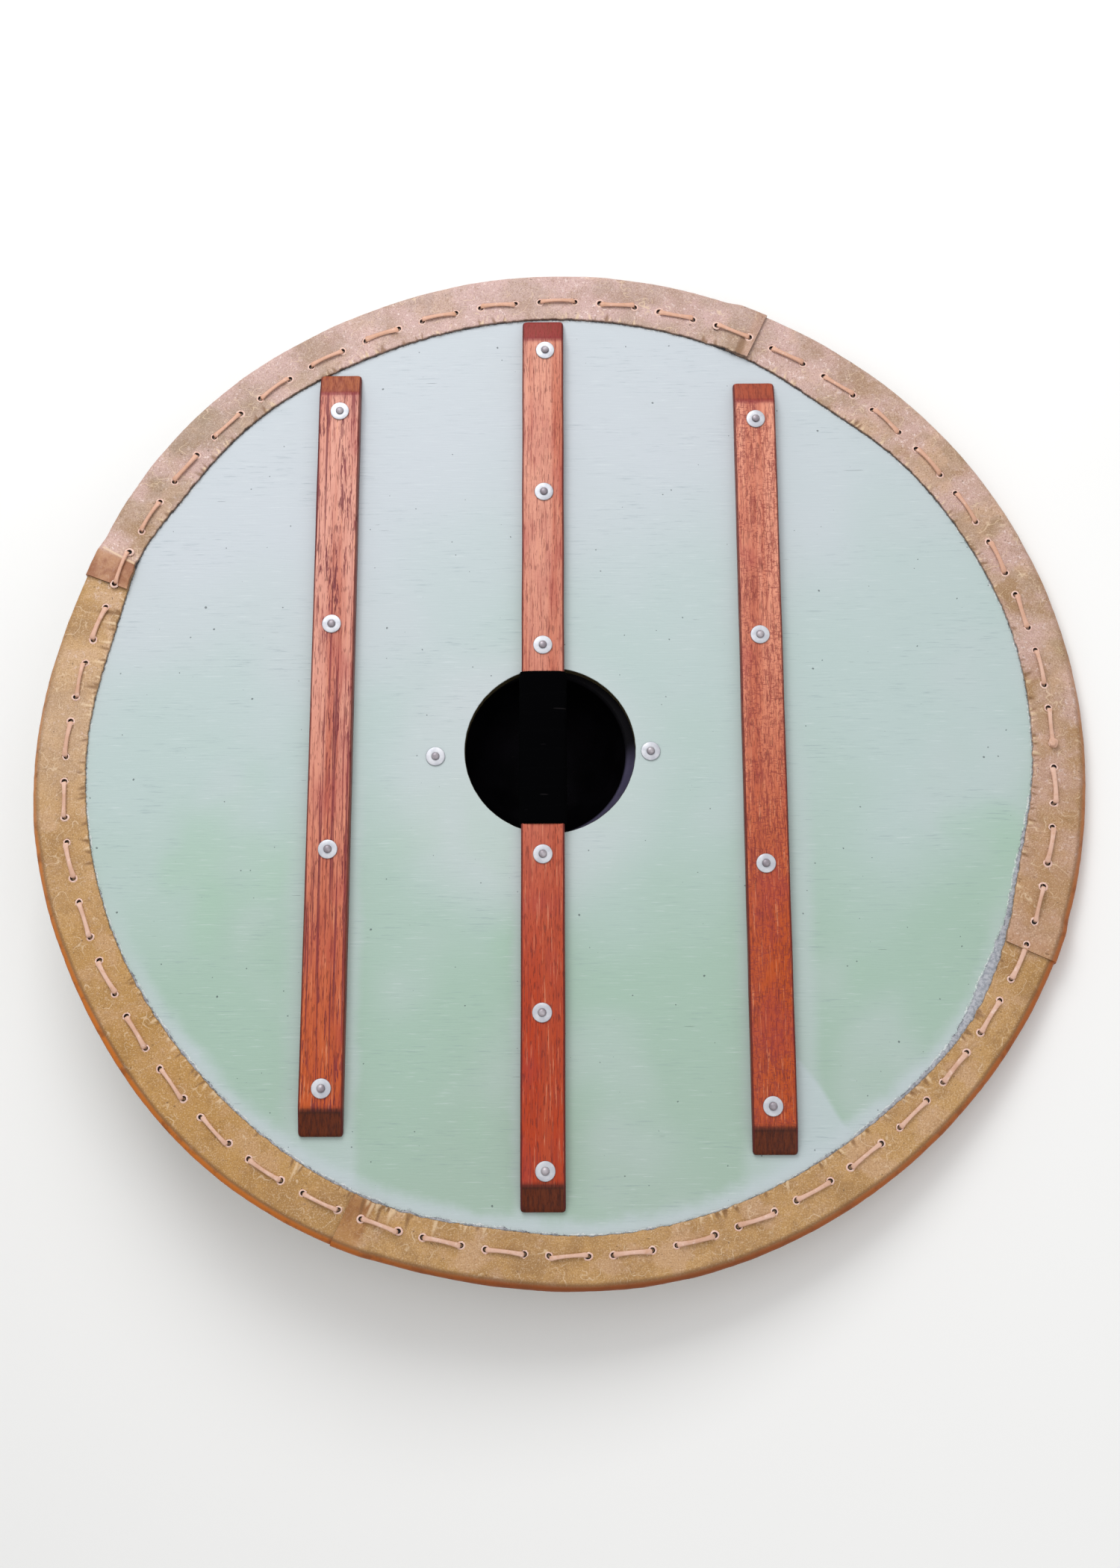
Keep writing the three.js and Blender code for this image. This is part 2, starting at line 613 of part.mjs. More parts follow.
addPiece("board", boardGeometry(), "paint");
for (const batten of battens) addPiece(batten.name, battenGeometry(batten), "redwood");
addPiece("grip_wrap", wrapGeometry(), "binding");
addPiece("boss", wornFlat(boss), "iron");
RIM_STRIPS.forEach(({ name }, i) => addPiece(name, wornFlat(strips[i]), "rawhide"));
addPiece("lacing", laceGeometry(), "lace");
rivets.forEach(addRivet);

// The leaning shield is moved so that it stands on the ground around the origin
shield.rotation.y = lean;
const box = new THREE.Box3().setFromObject(shield, true);
const middle = box.getCenter(new THREE.Vector3());
shield.position.set(-middle.x, -middle.y, -box.min.z);

const part = new THREE.Group();
part.add(shield);
export default part;
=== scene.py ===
# %% [markdown]
# # A wooden round shield, seen from behind
# The shield lies on its face. A painted plywood board carries three battens of red wood on its back,
# the middle one crosses the hand hole as the grip, and a black iron boss covers the hole from the
# front. Four strips of rawhide bind the edge, laced through the board with a thong.
# We build each piece in the shield's own frame, in millimetres, and then lay it where the CAD has it.

# %% Load the model and the tools
import json
import math
import random

import bpy
import numpy as np
from mathutils import Matrix, Vector, noise


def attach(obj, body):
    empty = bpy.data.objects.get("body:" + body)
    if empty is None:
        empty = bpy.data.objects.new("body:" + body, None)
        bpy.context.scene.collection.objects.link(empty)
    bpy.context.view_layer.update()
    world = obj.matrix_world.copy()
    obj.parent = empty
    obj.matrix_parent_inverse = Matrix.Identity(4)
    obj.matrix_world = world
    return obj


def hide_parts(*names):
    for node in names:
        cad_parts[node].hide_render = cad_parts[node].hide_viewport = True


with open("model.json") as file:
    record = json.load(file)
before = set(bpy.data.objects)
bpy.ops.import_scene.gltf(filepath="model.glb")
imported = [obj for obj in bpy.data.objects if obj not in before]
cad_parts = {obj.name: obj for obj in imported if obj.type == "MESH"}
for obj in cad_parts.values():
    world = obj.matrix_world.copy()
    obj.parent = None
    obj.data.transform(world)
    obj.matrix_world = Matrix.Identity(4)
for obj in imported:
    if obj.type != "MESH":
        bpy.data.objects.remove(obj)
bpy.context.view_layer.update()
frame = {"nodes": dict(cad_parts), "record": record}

print(len(frame["nodes"]), "CAD nodes")

# %% [markdown]
# The shield leans a little, because it rests on its boss and on one stretch of its edge. Modelling on
# a leaning plane is awkward, so every piece is made upright first. The mount on the right batten's side
# tells how that upright frame lies on the ground: its axis gives the lean, and its place the shift.

# %% The shield's own frame
MM = 0.001
SIDE_MOUNT = (187.95, 0, 4.5)
side = next(m for m in frame["record"]["mounts"] if m["name"] == "right_batten_outer_side")
LEAN = math.atan2(-side["axis"][2], side["axis"][0])
UPRIGHT_TO_GROUND = Matrix.Rotation(LEAN, 4, "Y")
CENTRE = Vector(side["pos_m"]) - UPRIGHT_TO_GROUND @ (Vector(SIDE_MOUNT) * MM)
PLACE = Matrix.Translation(CENTRE) @ UPRIGHT_TO_GROUND


def on_ground(points):
    """Points of the upright shield, in millimetres, moved to where they lie, in metres."""
    points = np.asarray(points, float).reshape(-1, 3) * MM
    return points @ np.array(PLACE.to_3x3()).T + np.array(CENTRE)


def upright_box(node):
    """Lowest and highest corner of a CAD node in the upright frame, in millimetres."""
    mesh = frame["nodes"][node].data
    places = np.empty(3 * len(mesh.vertices))
    mesh.vertices.foreach_get("co", places)
    local = (places.reshape(-1, 3) - np.array(CENTRE)) @ np.array(PLACE.to_3x3()) / MM
    return local.min(axis=0), local.max(axis=0)


def new_object(name, data):
    """Puts a mesh, lamp or camera into the scene."""
    obj = bpy.data.objects.new(name, data)
    bpy.context.collection.objects.link(obj)
    return obj


print("lean", round(math.degrees(LEAN), 2), "degrees")

# %% [markdown]
# ## The camera
# The photo was taken from behind the shield, a little below its middle. Fitting a camera to the
# round outline and to the parallel battens gives its place over the board.

# %% Camera
CAMERA_AT = Vector((21.5, -413.7, 1539.3))
CAMERA_LOOKS_AT = Vector((1.7, -27.0, 0.0))
CAMERA_ROLL = math.radians(-0.13)
FOCAL_PIXELS = 2575
FRAME_HEIGHT = 2100
SENSOR = 36

forward = (CAMERA_LOOKS_AT - CAMERA_AT).normalized()
right = forward.cross(Vector((0, 1, 0))).normalized()
above = right.cross(forward)
aim = Matrix((right, above, -forward)).transposed().to_4x4() @ Matrix.Rotation(CAMERA_ROLL, 4, "Z")
camera = new_object("camera", bpy.data.cameras.new("camera"))
camera.matrix_world = PLACE @ Matrix.Translation(CAMERA_AT * MM) @ aim
camera.data.sensor_width = SENSOR
camera.data.lens = FOCAL_PIXELS * SENSOR / FRAME_HEIGHT
bpy.context.scene.camera = camera
print("lens", round(camera.data.lens, 2), "mm")

# %% [markdown]
# ## Making a piece
# A piece is a list of points and faces. This helper lays the points on the ground, rounds the
# shading except over sharp edges, and hides the CAD nodes that the piece stands for.

# %% Helper for pieces
REST_BODY = "root"
SHARP = math.radians(35)


def finish_piece(obj, material, nodes=()):
    """Gives the piece its material and its place in the model."""
    obj.data.materials.clear()
    obj.data.materials.append(material)
    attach(obj, REST_BODY)
    if nodes:
        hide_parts(*nodes)
    print(obj.name, len(obj.data.polygons), "faces")
    return obj


def new_mesh(name, points, faces, sharp=SHARP):
    """A mesh object from points of the upright shield, with nothing below the ground."""
    places = on_ground(points)
    places[:, 2] = np.maximum(places[:, 2], 0.0)
    mesh = bpy.data.meshes.new(name)
    mesh.from_pydata(places.tolist(), [], faces)
    mesh.validate()
    mesh.shade_smooth()
    mesh.set_sharp_from_angle(angle=sharp)
    return new_object(name, mesh)


def add_marks(piece, marks):
    """Numbers on the piece's points that its finish reads."""
    for mark, values in marks.items():
        piece.data.attributes.new(mark, "FLOAT", "POINT").data.foreach_set("value", np.ravel(values))


def grid_faces(rows, columns, wrap_rows, wrap_columns):
    """Quads over a grid of points. Rows run along the piece and columns run round its section."""
    faces = []
    for i in range(rows if wrap_rows else rows - 1):
        here, there = i * columns, (i + 1) % rows * columns
        for j in range(columns if wrap_columns else columns - 1):
            k = (j + 1) % columns
            faces.append((here + j, there + j, there + k, here + k))
    return faces


def bar_faces(rows, columns):
    """The grid of a bar whose sections are closed loops, with one face on each end."""
    last = (rows - 1) * columns
    ends = [tuple(range(columns)), tuple(last + j for j in reversed(range(columns)))]
    return grid_faces(rows, columns, False, True) + ends


def turned_faces(segments, columns):
    """The grid of a profile turned full circle, with one face on each end of the profile."""
    ends = [tuple(i * columns for i in reversed(range(segments)))]
    ends.append(tuple(i * columns + columns - 1 for i in range(segments)))
    return grid_faces(segments, columns, True, False) + ends


def flipped(faces):
    """The same faces pointing the other way, for sections that run round the other way."""
    return [face[::-1] for face in faces]


print("a bar of 3 sections of 4 points has", len(bar_faces(3, 4)), "faces")

# %% [markdown]
# ## Shader maths
# A material is a tree of nodes. Wrapping a socket in a small class lets us write the maths as plain
# Python: every sum or product adds its Math node. Colours go through Mix nodes instead, because a
# Math node would turn them grey.

# %% Sockets
def feed(links, socket, value):
    """Joins a socket to another one, or gives it a value of its own."""
    if isinstance(value, Amount):
        value = value.socket
    if isinstance(value, bpy.types.NodeSocket):
        links.new(value, socket)
    elif socket.type == "RGBA":
        socket.default_value = (*value, 1.0)
    else:
        socket.default_value = value


def add_node(tree, kind, settings=None, inputs=None):
    node = tree.nodes.new(kind)
    for key, value in (settings or {}).items():
        setattr(node, key, value)
    for key, value in (inputs or {}).items():
        feed(tree.links, node.inputs[key], value)
    return node


class Amount:
    """A number that varies over a surface. Operators on it add Math nodes to its finish."""

    def __init__(self, finish, socket):
        self.finish, self.socket = finish, socket

    def calculate(self, operation, *others):
        node = self.finish.add("ShaderNodeMath", {"operation": operation}, dict(enumerate([self, *others])))
        return Amount(self.finish, node.outputs[0])

    def __add__(self, other):
        return self.calculate("ADD", other)

    def __sub__(self, other):
        return self.calculate("SUBTRACT", other)

    def __rsub__(self, other):
        return (self * -1) + other

    def __mul__(self, other):
        return self.calculate("MULTIPLY", other)

    def __pow__(self, other):
        return self.calculate("POWER", other)

    def __abs__(self):
        return self.calculate("ABSOLUTE")

    __radd__, __rmul__ = __add__, __mul__

    def most(self, other):
        return self.calculate("MAXIMUM", other)

    def rises(self, low, high):
        """0 below low and 1 above high, with soft ends. It falls instead where low is the larger."""
        settings = {"interpolation_type": "SMOOTHSTEP"}
        node = self.finish.add("ShaderNodeMapRange", settings, {0: self, 1: low, 2: high})
        return Amount(self.finish, node.outputs[0])

    def near(self, middle, reach):
        """1 at the middle value and 0 at more than reach away from it."""
        return abs(self - middle).rises(reach, 0.0)


print("besides the operators:", [name for name in vars(Amount) if not name.startswith("__")])

# %% [markdown]
# A finish is a material that knows where it is on the upright shield. It begins with a base colour,
# and each coat lays another colour over that one where its share says so, as a painter would.

# %% Finishes
class Finish:
    """A material, with one method that adds any node to its tree."""

    def __init__(self, name, roughness=0.5, metallic=0.0, **constants):
        self.material = bpy.data.materials.new(name)
        self.material.use_nodes = True
        self.tree = self.material.node_tree
        self.shader = self.tree.nodes["Principled BSDF"]
        self.shader.inputs["Roughness"].default_value = roughness
        self.shader.inputs["Metallic"].default_value = metallic
        for socket, value in constants.items():
            self.shader.inputs[socket.replace("_", " ").title().replace("Ior", "IOR")].default_value = value
        place = self.add("ShaderNodeTexCoord").outputs["Object"]
        upright = {"Vector": place, "Location": CENTRE, "Rotation": (0, LEAN, 0)}
        self.place = self.add("ShaderNodeMapping", {"vector_type": "TEXTURE"}, upright).outputs[0]
        split = self.add("ShaderNodeSeparateXYZ", {}, {0: self.place})
        self.x, self.y, self.z = (Amount(self, split.outputs[i]) for i in range(3))

    def add(self, kind, settings=None, inputs=None):
        return add_node(self.tree, kind, settings, inputs)

    def set(self, **sockets):
        """Feeds inputs of the shader, such as base_color or roughness."""
        for name, value in sockets.items():
            feed(self.tree.links, self.shader.inputs[name.replace("_", " ").title()], value)

    def noise(self, stretch, detail=3.0, roughness=0.55, shift=0.0):
        """Noise with that many cells a metre, along all axes of the shield or along each."""
        if not isinstance(stretch, tuple):
            stretch = (stretch,) * 3
        place = self.place
        for operation, value in (("MULTIPLY", stretch), ("ADD", (shift,) * 3)):
            node = self.add("ShaderNodeVectorMath", {"operation": operation}, {0: place, 1: value})
            place = node.outputs[0]
        inputs = {"Vector": place, "Scale": 1.0, "Detail": detail, "Roughness": roughness}
        return Amount(self, self.add("ShaderNodeTexNoise", {}, inputs).outputs[0])

    def mask(self, name):
        """A number painted on the mesh's points."""
        return Amount(self, self.add("ShaderNodeAttribute", {"attribute_name": name}).outputs["Fac"])

    def mix(self, share, first, second):
        node = self.add("ShaderNodeMix", {"data_type": "RGBA"}, {0: share, 6: first, 7: second})
        return node.outputs[2]

    def coat(self, share, *over):
        """Lays a screen colour, or another colour socket, over the base colour."""
        self.base = self.mix(share, self.base, colour(*over) if len(over) == 3 else over[0])

    def bump(self, height, distance):
        """Relief of that many millimetres."""
        node = self.add("ShaderNodeBump", {}, {"Height": height, "Distance": distance * MM, "Strength": 1.0})
        feed(self.tree.links, self.shader.inputs["Normal"], node.outputs[0])


def colour(red, green, blue):
    """A screen colour from 0 to 255, as the linear light that shaders work in."""
    shares = (value / 255 for value in (red, green, blue))
    return tuple(((s + 0.055) / 1.055) ** 2.4 if s > 0.04 else s / 12.92 for s in shares)


print("the middle of the screen's greys is", round(colour(128, 128, 128)[0], 3), "of white's light")

# %% [markdown]
# ## The painted board
# The paint is thin: pale blue-grey at the top and greener lower down, and the grain of the plywood
# shows through it as fine level lines. It is greyer beside each batten and by the leather, where the
# brush went round them, and a few specks of dirt sit in it.

# %% Paint
BATTENS = ["batten_left", "batten_grip", "batten_right"]
batten_boxes = {name: upright_box(name) for name in BATTENS}
batten_x = {name: (low[0] + high[0]) / 2 * MM for name, (low, high) in batten_boxes.items()}


def brush_bands(paint, wobble):
    """Pale bands along the battens: on both sides of the outer two and to the left of the grip."""
    left, grip, right = ((paint.x + wobble) - batten_x[name] for name in BATTENS)
    beside_left = left.rises(-0.04, -0.015) * left.rises(0.033, 0.023)
    beside_grip = grip.rises(-0.029, -0.019) * grip.rises(0, -0.01)
    beside_right = right.rises(-0.03, -0.015) * right.rises(0.043, 0.029)
    return beside_left.most(beside_grip).most(beside_right)


def lay_green_coats(paint):
    """The paint's slow changes of tone, from the top of the board to its foot."""
    clouds = paint.noise((5, 4, 5), detail=2)
    level = paint.y - paint.x * 0.16 + (clouds - 0.5) * 0.35
    paint.base = paint.mix(level.rises(0.30, 0.02), colour(194, 201, 207), colour(180, 197, 195))
    paint.coat(level.rises(0.02, -0.20), 162, 188, 173)
    paint.coat(level.rises(-0.18, -0.40) * 0.6, 160, 180, 166)
    lilac = paint.noise((7, 6, 7), detail=2, shift=9).rises(0.5, 0.7)
    paint.coat(lilac * 0.35, 192, 199, 203)
    mossy = paint.noise((9, 7, 9), detail=2, shift=30).rises(0.55, 0.7)
    paint.coat(mossy * paint.y.rises(0.05, -0.1) * 0.4, 158, 192, 168)
    bands = brush_bands(paint, (paint.noise((3, 26, 3), detail=3, shift=4) - 0.5) * 0.014)
    paint.coat(bands * paint.y.rises(0.1, -0.1) * (0.35 + clouds * 0.5), 184, 197, 197)

    # The patch below the right batten that the green coat missed
    border = paint.y + (paint.x - 0.2) * 1.15 + (clouds - 0.5) * 0.09
    patch = border.rises(-0.262, -0.27) * paint.x.rises(0.15, 0.19) * paint.x.rises(0.31, 0.27)
    paint.coat(patch * 0.9, 186, 199, 201)
    beside_hole = (((paint.x + 0.03) ** 2) + ((paint.y + 0.02) ** 2)) ** 0.5
    paint.coat(beside_hole.rises(0.14, 0.075) * 0.35, 204, 206, 212)

    # Pale grey brushwork along the leather, in the lower half
    brushed = paint.noise((34, 34, 30), detail=4, roughness=0.65, shift=22)
    fuzzy = paint.mask("past_trim") + (brushed - 0.5) * 18
    low = paint.y.rises(-0.08, -0.26)
    paint.coat(fuzzy.rises(-19, -3) * low * 0.85, 190, 201, 205)


print(len(batten_x), "battens to paint beside")

# %% [markdown]
# The plywood's grain stands up through the paint in short level streaks: dark where dirt stays in
# them and pale where the paint is thick. Stretching a noise sideways gives such streaks.

# %% Grain and specks
def lay_grain(paint):
    """Streaks, specks and cracks. Gives back the grain and the cracks for the relief."""
    grain = paint.noise((40, 700, 40), detail=4, roughness=0.62)
    uneven = paint.noise((7, 30, 6), detail=2, shift=2).rises(0.38, 0.66)
    paint.coat(grain.rises(0.55, 0.70) * uneven * 0.38, 126, 142, 150)
    paint.coat(grain.rises(0.42, 0.28) * 0.3, 216, 224, 226)
    specks = paint.noise(260, detail=0, shift=5).rises(0.855, 0.87)
    paint.coat(specks * 0.7, 60, 70, 74)
    cracks = paint.noise((22, 900, 40), detail=2, shift=13).rises(0.77, 0.80)
    paint.coat(cracks * 0.55, 96, 112, 116)
    return grain, cracks


# %% [markdown]
# Beside the leather the paint has torn off in places and left bare grey wood. The mesh carries the
# distance past the leather's edge, and noise added to that distance makes the torn line ragged.

# %% Torn edge and the whole paint
def lay_torn_edge(paint):
    """Bare wood, its ragged border and the painted shadow line under the leather. Gives back the relief."""
    torn = paint.mask("bare") + (paint.noise((80, 80, 70), detail=5, roughness=0.75, shift=3) - 0.5) * 8
    fibre = paint.noise((300, 300, 90), detail=3, roughness=0.7, shift=12)
    grey = paint.mix(fibre.rises(0.4, 0.62), colour(182, 184, 191), colour(146, 150, 159))
    paint.coat(torn.rises(-0.3, 0.5), grey)
    frayed = paint.noise(45, detail=2, shift=44)
    dark_edge = torn.near(0.3, 0.7) * fibre.rises(0.46, 0.54) * frayed.rises(0.42, 0.6)
    paint.coat(dark_edge, 98, 98, 104)
    pale_edge = torn.near(-0.7, 0.9) * frayed.rises(0.56, 0.44) * fibre.rises(0.58, 0.46)
    paint.coat(pale_edge * 0.8, 228, 230, 230)
    hairs = paint.noise((170, 170, 120), detail=4, roughness=0.8, shift=33).near(0.5, 0.02)
    paint.coat(torn.near(-0.2, 2.2) * hairs * 0.8, 84, 84, 90)
    # Painted shadow along the leather's inner edge, strongest in the upper half
    shade = (paint.mask("past_trim") + (fibre - 0.5) * 2.5).rises(-1.0, 0.2)
    paint.coat(shade * paint.y.rises(-0.05, 0.28) * (0.4 + frayed), 58, 58, 60)
    paint.coat(shade * fibre.rises(0.4, 0.6) * 0.5, 96, 92, 96)
    return torn.rises(0.5, -0.3) * 0.6 + fibre * torn.rises(-1, 1) * 0.8


def make_paint():
    paint = Finish("grey_green_paint", roughness=0.55, specular_ior_level=0.3)
    lay_green_coats(paint)
    grain, cracks = lay_grain(paint)
    torn_relief = lay_torn_edge(paint)
    layers = (paint.z * 2200).calculate("SINE").rises(-0.2, 0.2)
    ply = paint.mix(layers, colour(52, 44, 26), colour(84, 74, 48))
    paint.coat(paint.mask("face").rises(0.8, 0.2), ply)
    paint.set(base_color=paint.base, roughness=0.48 + grain * 0.2)
    paint.bump(grain * 0.6 + cracks * -1.0 + torn_relief, 0.25)
    return paint.material


paint = make_paint()
print(len(paint.node_tree.nodes), "nodes in the paint")

# %% [markdown]
# The board is one ring-shaped grid: each spoke runs from the hand hole to the edge on the back, down
# the edge, in again on the front, and up the wall of the hole. A point attribute marks the faces, so
# that the paint stops where the bare layers of the plywood begin.

# %% Board
# Where the hand-cut edges stand out of their circle: angle, how far in millimetres, how wide in degrees
EDGE_FEATURES = [(92, 1.1, 15), (132, 2.2, 9), (162, -4.8, 9), (192, 1.6, 8),
                 (229, 3, 11), (261, -4, 10), (338, 1.7, 9)]
TRIM_FEATURES = [(16, 2.5, 8), (53, -6.5, 7), (98, 1.5, 12), (130, 5, 9), (153, 4.5, 4), (166, -3.5, 6),
                 (222, -2.5, 10), (263, -4, 6), (326, 6.5, 8), (346, -4.5, 6)]
BARE_STRIPS = [(331, 8.0, 5.5), (316, 2.5, 9.0), (248, 1.5, 16.0), (214, 1.0, 10.0), (346, 2.5, 5.0)]
SHIELD_RADIUS = 435.0
BOARD_THICKNESS = 9.0
BOARD_RADIUS = 431.6
RIM_WIDTH = 43.0
HOLE_RADIUS = 70.7
HOLE_CENTRE = (-6.5, 2.2)
SAWN_EDGE = 0.6
EDGE_ROOM = 0.8
RAGGED = 0.25
NOT_ON_BACK = -99.0


def out_of_round(features, angle):
    """How far a hand-cut edge stands out of its circle, at an angle in degrees."""
    return sum(out * math.exp(-(((angle - at + 180) % 360 - 180) / spread) ** 2 / 2)
               for at, out, spread in features)


def polar(radius, angle, height=0.0):
    return radius * math.cos(math.radians(angle)), radius * math.sin(math.radians(angle)), height


def trim_radius(angle):
    """Where the leather's inner edge runs."""
    return SHIELD_RADIUS - RIM_WIDTH + out_of_round(TRIM_FEATURES, angle)


def make_board():
    spokes, steps = 720, 12
    points = []
    marks = {"face": [], "past_trim": [], "bare": []}
    for i in range(spokes):
        angle = 360 * i / spokes
        direction = np.array(polar(1, angle))[:2]
        outer = direction * (BOARD_RADIUS + out_of_round(EDGE_FEATURES, angle) - EDGE_ROOM)
        hole = np.array(HOLE_CENTRE) + direction * HOLE_RADIUS
        ragged = direction * RAGGED * noise.noise(Vector((*direction * 16, 0)))
        start = hole + direction * SAWN_EDGE
        flat = [start + (outer - start) * t for t in np.linspace(0, 1, steps)]
        wall = [hole - ragged] * 3
        heights = [0.0] * steps + [-BOARD_THICKNESS] * steps
        heights += [-BOARD_THICKNESS * share for share in (0.93, 0.5, 0.07)]
        for j, ((x, y), z) in enumerate(zip(flat + flat[::-1] + wall, heights)):
            past = math.hypot(x, y) - trim_radius(angle)
            points.append((x, y, z))
            marks["face"].append(1.0 if j < 2 * steps else 0.0)
            marks["past_trim"].append(past if z == 0 else NOT_ON_BACK)
            marks["bare"].append(past + out_of_round(BARE_STRIPS, angle) if z == 0 else NOT_ON_BACK)
    columns = 2 * steps + 3
    board = new_mesh("board_painted", points, flipped(grid_faces(spokes, columns, True, True)))
    add_marks(board, marks)
    return board


finish_piece(make_board(), paint, ["board"])

# %% [markdown]
# ## The battens
# Each batten is a bar whose two long edges were eased with a plane and whose ends slope down to a thin
# toe. We draw its section at many places along its length. The red wood is open-pored: short dark
# streaks run along the grain, and the end grain on the slopes drinks more oil and goes darker. Painted
# glare makes the wood paler towards the top of the shield, and painted shade darkens the lower slopes.

# %% Red wood
BEVEL = 21.0


def make_red_wood(name, tones, fade, bevel, streaks, figure):
    high, low, deep = (colour(*tone) for tone in tones)
    wood = Finish(name, roughness=0.42, specular_ior_level=0.28)
    # Painted glare: the wood is paler and pinker towards the top of the shield
    wood.base = wood.mix(wood.y.rises(*fade), high, low)
    bands = wood.noise((75, 3, 40), detail=3, shift=len(name))
    wood.coat(bands.rises(0.42, 0.72) * 0.6, deep)
    fine = wood.noise((700, 26, 300), detail=4, roughness=0.62)
    wood.coat(fine.rises(0.50, 0.66) * 0.6, 134, 46, 36)
    wood.coat(fine.rises(0.44, 0.3) * 0.55, 226, 156, 120)

    # Long wine lines and dark pores in dashes, strong on one batten
    lines = wood.noise((480, 4, 60), detail=2, roughness=0.5, shift=21).rises(0.56, 0.61)
    dashes = wood.noise((600, 52, 60), detail=3, roughness=0.6, shift=33).rises(0.55, 0.60)
    gathered = wood.noise((60, 9, 40), detail=2, shift=27).rises(0.42, 0.58)
    bold = (lines * 0.9).most(dashes * gathered)
    wood.coat(bold * streaks, 108, 30, 42)
    pores = wood.noise((1100, 110, 600), detail=1, shift=7).rises(0.60, 0.68)
    wood.coat(pores * 0.5, 84, 26, 26)

    # Fine lines along and across the grain of the figured batten
    uneven = wood.noise((60, 40, 60), detail=2, shift=3).rises(0.28, 0.50)
    upright = wood.noise((900, 150, 60), detail=3, shift=11).rises(0.52, 0.60)
    level = wood.noise((320, 800, 60), detail=3, shift=15).rises(0.53, 0.62)
    weave = upright.most(level) * uneven
    wood.coat(weave * figure, 128, 42, 42)
    blush = wood.noise((30, 14, 30), detail=2, shift=18).rises(0.52, 0.7)
    wood.coat(blush * 0.3, 158, 50, 58)

    # The bevels' end grain, darker on the lower ends as painted shade, the dark line at their foot, painted
    # shade that is darkest at the bottom, and the darker long edges
    lower = wood.y.rises(0.1, -0.1)
    # Painted shade: the end grain on the lower ends is darker
    end_colour = wood.mix(lower, colour(*bevel), colour(90, 34, 0))
    end_lines = wood.mix(lower, colour(118, 44, 30), colour(44, 8, 0))
    end_colour = wood.mix(fine.rises(0.42, 0.62) * 0.7, end_colour, end_lines)
    wood.coat(wood.mask("end_grain") * 0.95, end_colour)
    # Painted shade in the dip at the bevel's foot, darker at the bottom
    wood.coat(wood.mask("foot") * 0.8, wood.mix(lower, colour(126, 28, 36), colour(40, 6, 0)))
    darker_edges = (wood.mask("side") + (fine - 0.5) * 0.6).rises(0.3, 0.8)
    wood.coat(darker_edges * 0.8, 86, 22, 22)
    wood.set(base_color=wood.base, roughness=0.36 + fine * 0.22)
    wood.bump(fine * 0.4 + pores * -0.8 + weave * figure * -0.4 + bold * streaks * -0.3, 0.18)
    return wood.material


# Name, tones at the top (paler with painted glare), at the foot and in the bands, heights of the fade,
# bevel, streaks and figure
WOOD_LOOKS = {
    "batten_left": ("streaky_red_wood", ((218, 154, 136), (194, 86, 28), (174, 70, 38)),
                    (0.14, -0.30), (158, 84, 50), 0.9, 0.0),
    "batten_grip": ("plain_red_wood", ((216, 148, 126), (176, 54, 4), (178, 74, 40)),
                    (0.22, -0.24), (138, 40, 40), 0.14, 0.1),
    "batten_right": ("figured_red_wood", ((232, 158, 132), (184, 76, 20), (178, 78, 46)),
                     (0.24, -0.18), (160, 70, 44), 0.1, 0.62),
}
red_woods = {name: make_red_wood(*look) for name, look in WOOD_LOOKS.items()}
print(len(red_woods), "kinds of red wood")

# %% Battens
BATTEN_TOE = 3.0
EASED = 1.9
EASE_STEPS = 4
CORNER = 3.0
FOOT_DIP = 0.5
TOE_DIP = 0.7
EDGE_WAVE = 0.25
SUNK = 0.25


def batten_section(half, bottom, top):
    """Half width and heights of one section, with its two upper edges rounded."""
    ease = min(EASED, (top - bottom) * 0.6)
    points = [(-half, bottom), (half, bottom)]
    for side, start in ((1, 0.0), (-1, 90.0)):
        for i in range(EASE_STEPS + 1):
            turn = math.radians(start + 90 * i / EASE_STEPS)
            points.append((side * (half - ease) + ease * math.cos(turn), top - ease + ease * math.sin(turn)))
    return points


def make_batten(name):
    low, high = batten_boxes[name]
    middle = (low[0] + high[0]) / 2
    half = (high[0] - low[0]) / 2
    inner = np.linspace(low[1] + BEVEL + 5, high[1] - BEVEL - 5, 60)
    slope = np.array([0.0, 0.35, 1.2, 3.0, 6.0, 10.0, 14.0, 16.5, 18.5, 20.0, BEVEL, 22.2, 24.0])
    along = np.concatenate([low[1] + slope, inner, high[1] - slope[::-1]])
    rows, ends, sides, feet = [], [], [], []
    for y in along:
        from_end = min(y - low[1], high[1] - y)
        top = BATTEN_TOE + low[2] + (high[2] - low[2] - BATTEN_TOE) * min(1.0, from_end / BEVEL)
        top -= FOOT_DIP * math.exp(-abs(from_end - BEVEL) / 1.2)
        top -= TOE_DIP * max(0.0, 1 - from_end / 1.2)
        pull = CORNER - math.sqrt(max(0.0, CORNER**2 - max(0.0, CORNER - from_end) ** 2))
        wave = EDGE_WAVE * noise.noise(Vector((middle, y * 0.02, 0)))
        for x, z in batten_section(half - pull * 0.8, low[2] - SUNK, top):
            rows.append((middle + x + wave, y, z))
            ends.append(1.0 if from_end < BEVEL - 1.0 else 0.0)
            sides.append(1.0 if abs(x) > half - EASED * 0.7 else 0.0)
            feet.append(math.exp(-(((from_end - BEVEL + 1.2) / 2.2) ** 2)))
    columns = 2 + 2 * (EASE_STEPS + 1)
    batten = new_mesh(name + "_wood", rows, bar_faces(len(along), columns))
    add_marks(batten, {"end_grain": ends, "side": sides, "foot": feet})
    return batten


for name in BATTENS:
    finish_piece(make_batten(name), red_woods[name], [name])

# %% [markdown]
# ## The grip's binding
# A black tape is wound round the grip, each turn over a part of the last one. Round a bar this is a
# saw-tooth in the radius that runs on with both the length and the way round, so the turns slant.

# %% Binding
TURN_PITCH = 16.0
TAPE_STEP = 0.55
TAPE_SLANT = 0.35
ROUNDING = 0.55
wrap_low, wrap_high = upright_box("grip_wrap")


